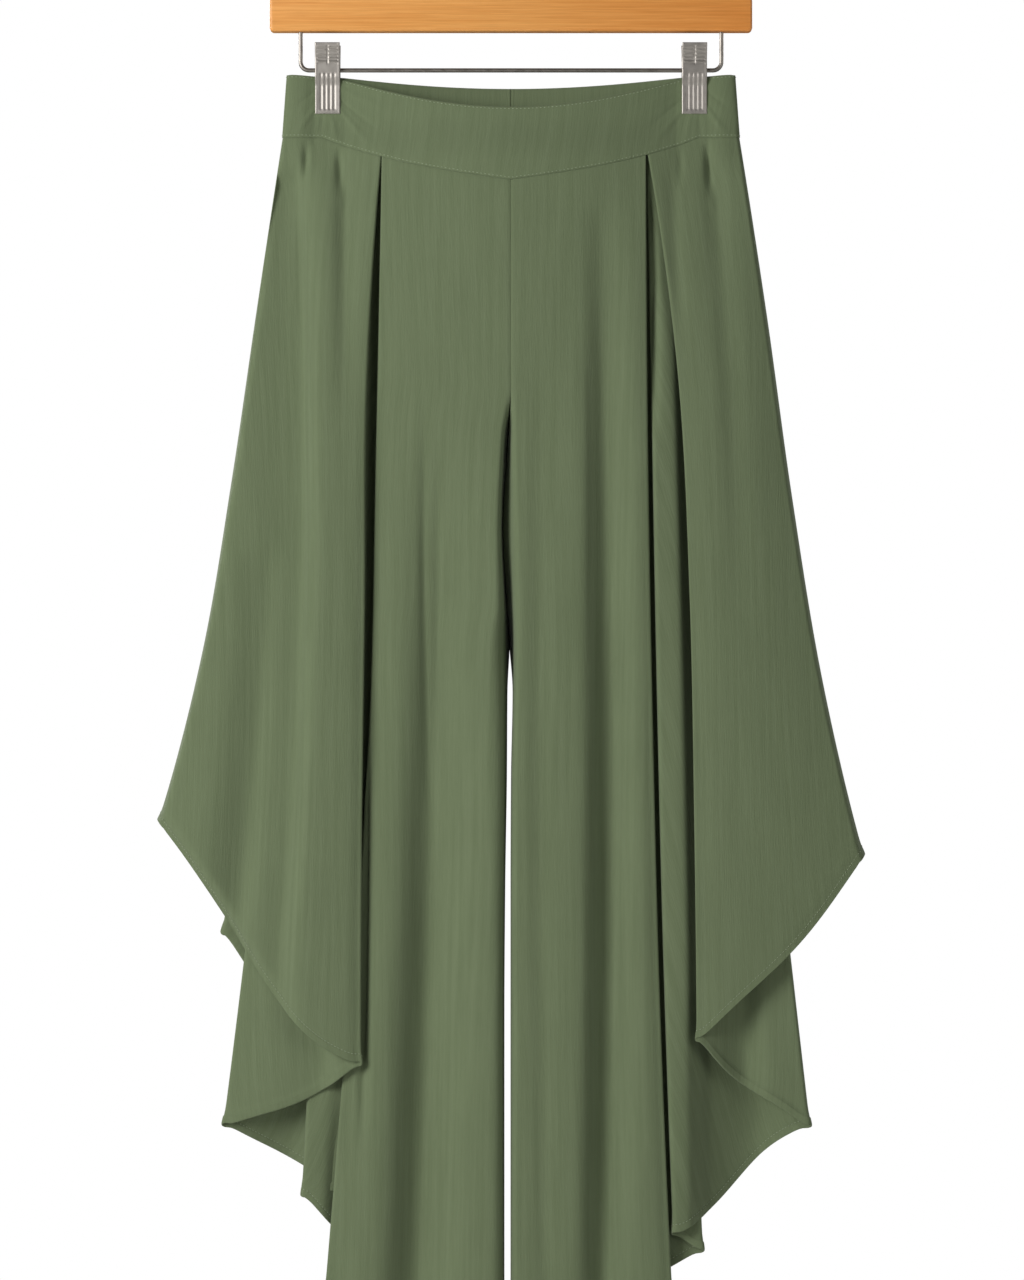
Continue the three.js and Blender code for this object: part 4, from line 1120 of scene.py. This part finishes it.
@dataclass
class Trousers:
    """All the pieces of cloth and the sewing that holds them."""

    cut: Cut = field(default_factory=Cut)
    stitching: Stitching = field(default_factory=Stitching)
    crepe: Crepe = field(default_factory=Crepe)
    thread: Thread = field(default_factory=Thread)
    hem_line: float = 7.0
    hem_lift: float = 0.04
    band_line_top: float = 1.6
    band_line_low: float = 1.7
    band_lift: float = 0.08
    band_ease: float = 1.02
    band_share: float = 0.98
    leg_share: float = 0.31

    def build(self) -> None:
        """Builds and dresses the waistband, the legs and the stitches."""
        cloth, thread = self.crepe.material(), self.thread.material()
        hems: list[Grid] = []
        self.build_waistband(cloth, thread)
        for face in Face:
            for side in Side:
                hems += self.build_leg(face, side, cloth)
        stitches = self.stitching.sew("hem_stitches", hems, thread)
        finish_piece(stitches, thread, "crepe")

    def pulls(self) -> tuple[Pull, ...]:
        """The creases that the two clips pull into the waistband."""
        found, middle, half = [], self.cut.clip_out, self.cut.clip_width / 2
        for sign in (-1, 1):
            near, far = sign * (middle - half), sign * (middle + half)
            found += [
                Pull((near, 30), (near - sign * 26, 62), 2.6, 0.7),
                Pull((near, 22), (near - sign * 34, 50), 2.6, -0.7),
                Pull((near, 12), (near - sign * 40, 30), 3.0, 0.45),
                Pull((sign * (middle - 3), 36), (sign * (middle - 9), 62), 2.4, 0.6),
                Pull((sign * (middle + 4), 36), (sign * (middle + 6), 60), 2.4, -0.6),
                Pull((far, 28), (far + sign * 16, 52), 2.0, 0.8),
                Pull((far, 14), (far + sign * 20, 30), 2.2, -0.6),
            ]
        return tuple(found)

    def build_waistband(self, cloth: Material, thread: Material) -> None:
        """Builds the band's three pieces and its topstitching."""
        cut = self.cut
        pulls = self.pulls()
        rows: list[Grid] = []
        parts = {
            "waistband_front": (Face.FRONT, (Side.RIGHT, Side.LEFT)),
            "waistband_back_right": (Face.BACK, (Side.RIGHT,)),
            "waistband_back_left": (Face.BACK, (Side.LEFT,)),
        }
        for node, (face, sides) in parts.items():
            made = Waistband(cut, face, sides, pulls).build()
            outward = self.outward(face, sides[0] if len(sides) == 1 else Side.LEFT)
            piece = made.shell(node + "_cloth", outward)
            finish_piece(piece, cloth, "crepe", node)
            made.area() * self.band_share
            lift = cut.band_cloth / 2 + self.band_lift
            flipped = Cloth(made.points[::-1], made.thickness)
            rows.append(flipped.line(self.band_line_top, lift, -outward))
            rows.append(made.line(self.band_line_low, lift, outward))
        topstitch = replace(self.stitching, length=1.8, gap=1.7, thread=0.56)
        stitches = topstitch.sew("waistband_stitches", rows, thread)
        finish_piece(stitches, thread, "crepe")

    def build_leg(self, face: Face, side: Side, cloth: Material) -> list[Grid]:
        """Builds the panel and the drape of one face of a leg.

        Args:
            face: which face.
            side: which leg.
            cloth: the crepe.

        Returns:
            The lines that their hems are sewn along.
        """
        outward = self.outward(face, side)
        lines = []
        key = f"{face.name.lower()}_{side.name.lower()}"
        for part, made in zip(("leg", "drape"), LegCloth(self.cut, face, side).build()):
            piece = made.shell(f"{part}_{key}_cloth", outward)
            finish_piece(piece, cloth, "crepe", f"{part}_{key}")
            u, v = made.lengths()
            width = float((u.max(axis=1) - u.min(axis=1)).max()) * MM
            length = float(v[-1].max()) * MM
            area = min(max(made.area(), self.leg_share * width * length), width * length)
            lines.append(made.line(self.hem_line, self.cut.cloth / 2 + self.hem_lift, outward))
        return lines

    def outward(self, face: Face, side: Side) -> int:
        """1 where a grid's normals leave the garment, and -1 where they enter it."""
        return -face.value * side.value


# ---- The hanger ---------------------------------------------------------------------------------


def tube(name: str, path: Grid, radius: float, sides: int = 20) -> Object:
    """A round rod along a path that lies in a plane of constant Y, closed at its ends.

    Args:
        name: the piece's name.
        path: its points in millimetres.
        radius: the rod's radius.
        sides: faces round it.

    Returns:
        The object.
    """
    path = np.asarray(path, float)
    ahead = np.gradient(path, axis=0)
    ahead /= np.linalg.norm(ahead, axis=1, keepdims=True)
    up = np.cross(ahead, (0.0, 1.0, 0.0))
    up /= np.linalg.norm(up, axis=1, keepdims=True)
    angles = np.linspace(0, 2 * math.pi, sides, endpoint=False)[:, None]
    rings = [
        place + radius * (np.cos(angles) * high + np.sin(angles) * side)
        for place, high, side in zip(path, up, np.cross(up, ahead))
    ]
    faces = []
    last = (len(path) - 1) * sides
    for start in range(0, last, sides):
        for i in range(sides):
            j = (i + 1) % sides
            faces.append((start + i, start + j, start + sides + j, start + sides + i))
    faces += [tuple(range(sides - 1, -1, -1)), tuple(range(last, last + sides))]
    made = mesh_of(name, np.concatenate(rings), faces)
    fix_normals(made)
    return made


def arc(x: float, z: float, radius: float, start: float, end: float, steps: int) -> Grid:
    """Points on a level-front arc round a centre."""
    angles = np.radians(np.linspace(start, end, steps))
    out, height = x + radius * np.cos(angles), z + radius * np.sin(angles)
    return np.stack((out, np.zeros(steps), height), axis=-1)


@dataclass
class Hanger:
    """The wooden bar, the hook above it and the wire below it."""

    bar_length: float = 426.0
    bar_height: float = 30.0
    bar_depth: float = 14.0
    bar_edge: float = 2.4
    bar_corner: float = 3.6
    bar_top_z: float = -67.8
    wire_radius: float = 1.9
    wire_out: float = 186.0
    wire_z: float = -131.4
    wire_bend: float = 7.5
    hook_radius: float = 2.0
    hook_inner: float = 20.0
    wood: Beech = field(default_factory=Beech)
    steel: Steel = Steel(name="nickelled wire", body="#a8a29a", worn="#8b857d", roughness=0.42)

    def build(self) -> None:
        """Builds and dresses the bar, the wire and the hook."""
        metal = self.steel.material()
        finish_piece(self.build_bar(), self.wood.material(), "wood", "hanger_bar")
        finish_piece(self.build_wire(), metal, "steel", "hanger_wire")
        finish_piece(self.build_hook(), metal, "steel", "hanger_hook")

    def build_bar(self) -> Object:
        """The planed bar with its rounded edges."""
        mesh = bpy.data.meshes.new("hanger_bar_wood")
        work = bmesh.new()
        bmesh.ops.create_cube(work, size=1.0)
        size = Vector((self.bar_length, self.bar_depth, self.bar_height)) * MM
        bmesh.ops.scale(work, vec=size, verts=work.verts)
        middle = (self.bar_top_z - self.bar_height / 2) * MM
        bmesh.ops.translate(work, vec=(0, 0, middle), verts=work.verts)
        upright = [edge for edge in work.edges if self.depth_of(edge) > 0.001]
        self.round_edges(work, upright, self.bar_corner, 5)
        around = [
            edge
            for edge in work.edges
            if self.depth_of(edge) < 1e-6
            and edge.is_manifold
            and abs(abs(edge.verts[0].co.y) - size.y / 2) < 1e-6
        ]
        self.round_edges(work, around, self.bar_edge, 4)
        work.to_mesh(mesh)
        work.free()
        smooth_faces(mesh)
        mesh.set_sharp_from_angle(angle=math.radians(35))
        return link_object("hanger_bar_wood", mesh)

    def depth_of(self, edge: bmesh.types.BMEdge) -> float:
        """How far an edge runs from front to back, in metres."""
        return abs(edge.verts[0].co.y - edge.verts[1].co.y)

    def round_edges(self, work: bmesh.types.BMesh, edges: list, radius: float, segments: int) -> None:
        """Rounds edges of the bar to a radius in millimetres."""
        settings = {"segments": segments, "profile": 0.5, "affect": "EDGES"}
        bmesh.ops.bevel(work, geom=edges, offset=radius * MM, **settings)

    def build_wire(self) -> Object:
        """The wire that drops from the bar and carries the clips."""
        top, leg = self.bar_top_z - self.bar_height + 11.5, 12
        x, z = self.wire_out - self.wire_bend, self.wire_z + self.wire_bend
        path = np.concatenate(
            (
                [[-self.wire_out, 0, top], [-self.wire_out, 0, top - leg]],
                arc(-x, z, self.wire_bend, 180, 270, 12),
                arc(x, z, self.wire_bend, 270, 360, 12),
                [[self.wire_out, 0, top - leg], [self.wire_out, 0, top]],
            )
        )
        return tube("hanger_wire_steel", path, self.wire_radius)

    def build_hook(self) -> Object:
        """The hook, bent from one wire, with its end a little open."""
        middle = self.hook_inner + self.hook_radius
        stem = -self.hook_inner - middle - 14
        end = np.radians(-40)
        knots = np.array(
            [
                [0, 0, stem],
                [0, 0, stem + 12],
                [middle * 0.42, 0, -self.hook_inner - middle * 1.02],
                [middle * math.cos(end), 0, -self.hook_inner + middle * math.sin(end)],
            ]
        )
        t = np.linspace(0, 1, 14)[:, None]
        weights = ((1 - t) ** 3, 3 * t * (1 - t) ** 2, 3 * t**2 * (1 - t), t**3)
        neck = sum(weight * knot for weight, knot in zip(weights, knots))
        bow = arc(0, -self.hook_inner, middle, -34, 195, 48)
        path = np.concatenate(([[0, 0, self.bar_top_z - 14]], neck, bow))
        return tube("hanger_hook_steel", path, self.hook_radius)


@dataclass
class Clip:
    """A sprung clip: two stamped jaws that slide on the wire, with a coiled spring between them."""

    out: float = 162.0
    width: float = 22.0
    top_z: float = -108.0
    foot_z: float = -170.0
    wire_z: float = -131.4
    plate: float = 1.0
    jaw_depth: float = 2.45
    pivot_depth: float = 5.5
    tail_depth: float = 9.5
    rib_pitch: float = 3.3
    flute_pitch: float = 3.9
    jaw_grid: tuple[int, int] = (49, 101)
    steel: Steel = Steel(name="stamped clip steel", body="#bdb8b1", worn="#a39d96", roughness=0.52)

    def build(self) -> None:
        """Builds and dresses both clips."""
        metal = self.steel.material()
        for side in Side:
            for face in Face:
                name = f"clip_{side.name.lower()}_{face.name.lower()}"
                finish_piece(self.build_jaw(name + "_steel", side, face), metal, "steel", name)
            spring = f"clip_{side.name.lower()}_spring"
            finish_piece(self.build_spring(spring + "_steel", side), metal, "steel", spring)

    def plate_depth(self, z: Values) -> Values:
        """Depth of a jaw's inner face at a height."""
        heights = [self.foot_z, self.wire_z - 15, self.wire_z - 5, self.wire_z + 8, self.top_z]
        depths = [self.jaw_depth, self.jaw_depth, self.pivot_depth, self.pivot_depth, self.tail_depth]
        return soft_table(z, heights, depths)

    def relief(self, x: Values, z: Values) -> Values:
        """The stamped pattern: short grip ribs above, and upright flutes in a recess below."""
        half = self.width / 2
        above = smooth(z, self.wire_z + 4.0, self.wire_z + 5.5)
        above = above * (1 - smooth(z, self.top_z - 3.6, self.top_z - 2.2))
        wide = smooth(np.abs(x), 0.7, 1.2) * (1 - smooth(np.abs(x), half - 2.4, half - 1.4))
        groove = 1 - smooth(np.abs(x), 0.5, 1.1)
        ribs = np.maximum(0, np.cos(2 * math.pi * (z - self.top_z) / self.rib_pitch)) ** 0.7
        below = smooth(z, self.foot_z + 2.6, self.foot_z + 4.4)
        below = below * (1 - smooth(z, self.wire_z - 4.4, self.wire_z - 2.4))
        inside = 1 - smooth(np.abs(x), half - 3.8, half - 2.6)
        flutes = 0.5 + 0.5 * np.cos(2 * math.pi * x / self.flute_pitch)
        rim = np.exp(-(((half - np.abs(x) - 1.0) / 0.6) ** 2))
        ribbed = above * (wide * (0.6 * ribs - 0.15) - 0.35 * groove)
        return ribbed - below * inside * (0.45 - 0.4 * flutes) + 0.12 * rim

    def build_jaw(self, name: str, side: Side, face: Face) -> Object:
        """One jaw, with its relief and its two cheeks.

        Args:
            name: the piece's name.
            side: which clip.
            face: the front or the back jaw.

        Returns:
            The object.
        """
        x = np.linspace(-self.width / 2, self.width / 2, self.jaw_grid[0])
        z = np.linspace(self.top_z, self.foot_z, self.jaw_grid[1])
        grid_x, grid_z = np.meshgrid(x, z)
        ends = np.minimum(self.top_z - grid_z, grid_z - self.foot_z)
        edge = np.minimum(self.width / 2 - np.abs(grid_x), ends)
        rounded = 0.45 * (1 - np.sqrt(np.clip(1 - (1 - np.clip(edge / 0.8, 0, 1)) ** 2, 0, 1)))
        inner = self.plate_depth(grid_z)
        outer = inner + self.plate + self.relief(grid_x, grid_z) - rounded
        sign = face.value
        middle = side.value * self.out
        front = np.stack((grid_x + middle, sign * outer, grid_z), axis=-1)
        back = np.stack((grid_x + middle, sign * inner, grid_z), axis=-1)
        quads, rim = grid_faces(*grid_x.shape)
        faces = np.concatenate((quads, quads[:, ::-1] + grid_x.size, rim)).tolist()
        points = np.concatenate((front.reshape(-1, 3), back.reshape(-1, 3)))
        outline = self.cheek_outline()
        count = len(outline)
        for cheek in (-1, 1):
            first = len(points)
            second = first + count
            for reach in (self.width / 2 - self.plate, self.width / 2):
                at = middle + cheek * reach
                ring = [(at, sign * depth, height) for depth, height in outline]
                points = np.concatenate((points, ring))
            for i in range(count):
                j = (i + 1) % count
                faces.append([first + i, first + j, second + j, second + i])
            faces += [list(range(first, second)), list(range(second + count - 1, second - 1, -1))]
        made = mesh_of(name, points, faces)
        fix_normals(made)
        made.data.set_sharp_from_angle(angle=math.radians(40))
        return made

    def cheek_outline(self) -> list[tuple[float, float]]:
        """The outline of a cheek, with the half-round seat that it has for the wire."""
        radius, turns = 2.2, np.radians(np.linspace(80, -80, 9))
        seat = [(radius * math.cos(a), self.wire_z + radius * math.sin(a)) for a in turns]
        return [
            (self.tail_depth + 0.2, self.top_z - 3),
            (self.pivot_depth + 0.3, self.wire_z + 8),
            (self.pivot_depth + 0.3, self.wire_z - 2.9),
            (0.25, self.wire_z - 2.9),
            *reversed(seat),
            (0.25, self.wire_z + 4.5),
            (self.tail_depth - 4.5, self.top_z - 3),
        ]

    def build_spring(self, name: str, side: Side) -> Object:
        """The spring: turns of wire round the long wire, and a leg behind each jaw's tail."""
        turns, steps, radius, wire, half_length = 8, 16, 2.75, 0.42, 4.5
        angle = np.linspace(math.pi / 2, math.pi / 2 + turns * 2 * math.pi, turns * steps)
        x = side.value * self.out + np.linspace(-half_length, half_length, len(angle))
        coil = np.stack((x, radius * np.cos(angle), self.wire_z + radius * np.sin(angle)), axis=-1)
        start = [[x[0], -(self.tail_depth - 2.4), self.top_z - 6], [x[0], -2.9, self.wire_z + 3.4]]
        end = [[x[-1], 2.9, self.wire_z + 3.4], [x[-1], self.tail_depth - 2.4, self.top_z - 6]]
        path = np.concatenate((start, coil, end))
        curve = bpy.data.curves.new(name, "CURVE")
        curve.dimensions = "3D"
        curve.bevel_depth = wire * MM
        curve.bevel_resolution = 2
        curve.use_fill_caps = True
        spline = curve.splines.new("POLY")
        spline.points.add(len(path) - 1)
        for point, place in zip(spline.points, path * MM):
            point.co = (*place, 1.0)
        return replace_by_mesh(link_object(name + "_line", curve), name)


# ---- The studio ---------------------------------------------------------------------------------


@dataclass
class Studio:
    """The pale floor, the soft lights and the camera."""

    scale: float = 0.88
    frame_px: tuple[int, int] = (1024, 1280)
    centre_px: float = 511.0
    bar_top_z: float = -71.76
    lens: float = 110.0
    sensor: float = 36.0
    front_plane: float = -16.0
    surround: float = 0.05
    floor_half: tuple[float, float] = (2600.0, 2200.0)
    floor_z: float = -1600.0

    def build(self) -> None:
        """Sets up the camera, the floor and the lights."""
        self.build_camera()
        self.build_floor()
        self.build_lights()

    def build_camera(self) -> None:
        """A long lens, level and square to the front."""
        wide, high = (size * self.scale for size in self.frame_px)
        data = bpy.data.cameras.new("camera")
        data.lens, data.sensor_width = self.lens, self.sensor
        data.clip_end = 50
        camera = link_object("camera", data)
        x = wide / 2 - self.centre_px * self.scale
        z = self.bar_top_z - high / 2
        distance = high * self.lens / self.sensor
        camera.location = (x * MM, (self.front_plane - distance) * MM, z * MM)
        camera.rotation_euler = (math.radians(90), 0, 0)
        bpy.context.scene.camera = camera

    def build_floor(self) -> None:
        """A pale floor well below the hems."""
        corners = [(-1, -1), (1, -1), (1, 1), (-1, 1)]
        points = [(x * self.floor_half[0], y * self.floor_half[1], self.floor_z) for x, y in corners]
        floor = mesh_of("floor", np.array(points), [(0, 1, 2, 3)])
        paper, tree, shader = new_material("pale floor")
        finish = {"Base Color": linear("#ececea"), "Roughness": 0.9, "Specular IOR Level": 0.1}
        feed(tree, shader, finish, {})
        floor.data.materials.append(paper)

    def build_lights(self) -> None:
        """A white surround, a soft key on the left, a weak fill on the right and two lights behind."""
        world = bpy.data.worlds.new("studio")
        world.use_nodes = True
        tree = world.node_tree
        white = {"Color": (1, 1, 1, 1)}
        shown = add_node(tree, "ShaderNodeBackground", white | {"Strength": 1.0}).outputs[0]
        lit = add_node(tree, "ShaderNodeBackground", white | {"Strength": self.surround}).outputs[0]
        seen = add_node(tree, "ShaderNodeLightPath").outputs["Is Camera Ray"]
        both = add_node(tree, "ShaderNodeMixShader", links={0: seen, 1: lit, 2: shown})
        tree.links.new(both.outputs[0], tree.nodes["World Output"].inputs["Surface"])
        bpy.context.scene.world = world
        self.area("key", (-2.0, -1.9, 0.1), (0, 0, -0.7), (1.3, 1.4), 77)
        self.area("fill", (2.5, -2.2, -0.3), (0, 0, -0.6), (1.6, 2.0), 21)
        self.area("back_left", (-1.8, 2.2, 0.4), (0, 0, -0.6), (1.0, 1.4), 45)
        self.area("back_right", (2.3, 1.9, 0.2), (0, 0, -0.6), (1.0, 1.4), 20)
        bpy.context.scene.view_settings.view_transform = "Standard"

    def area(
        self,
        name: str,
        place: Sequence[float],
        target: Sequence[float],
        size: tuple[float, float],
        power: float,
    ) -> None:
        """Adds a soft light that faces a point.

        Args:
            name: the light's name.
            place: where it is, in metres.
            target: what it faces.
            size: its width and height in metres.
            power: in watts.
        """
        data = bpy.data.lights.new(name, "AREA")
        data.shape = "RECTANGLE"
        data.size, data.size_y = size
        data.energy = power
        light = link_object(name, data)
        light.location = place
        light.rotation_euler = (Vector(target) - Vector(place)).to_track_quat("-Z", "Y").to_euler()


def main() -> None:
    """Builds the studio, the trousers, the hanger and the clips."""
    logging.basicConfig(level=logging.INFO, format="%(message)s")
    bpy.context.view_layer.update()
    Studio().build()
    Trousers().build()
    Hanger().build()
    Clip().build()


if __name__ == "__main__":
    main()
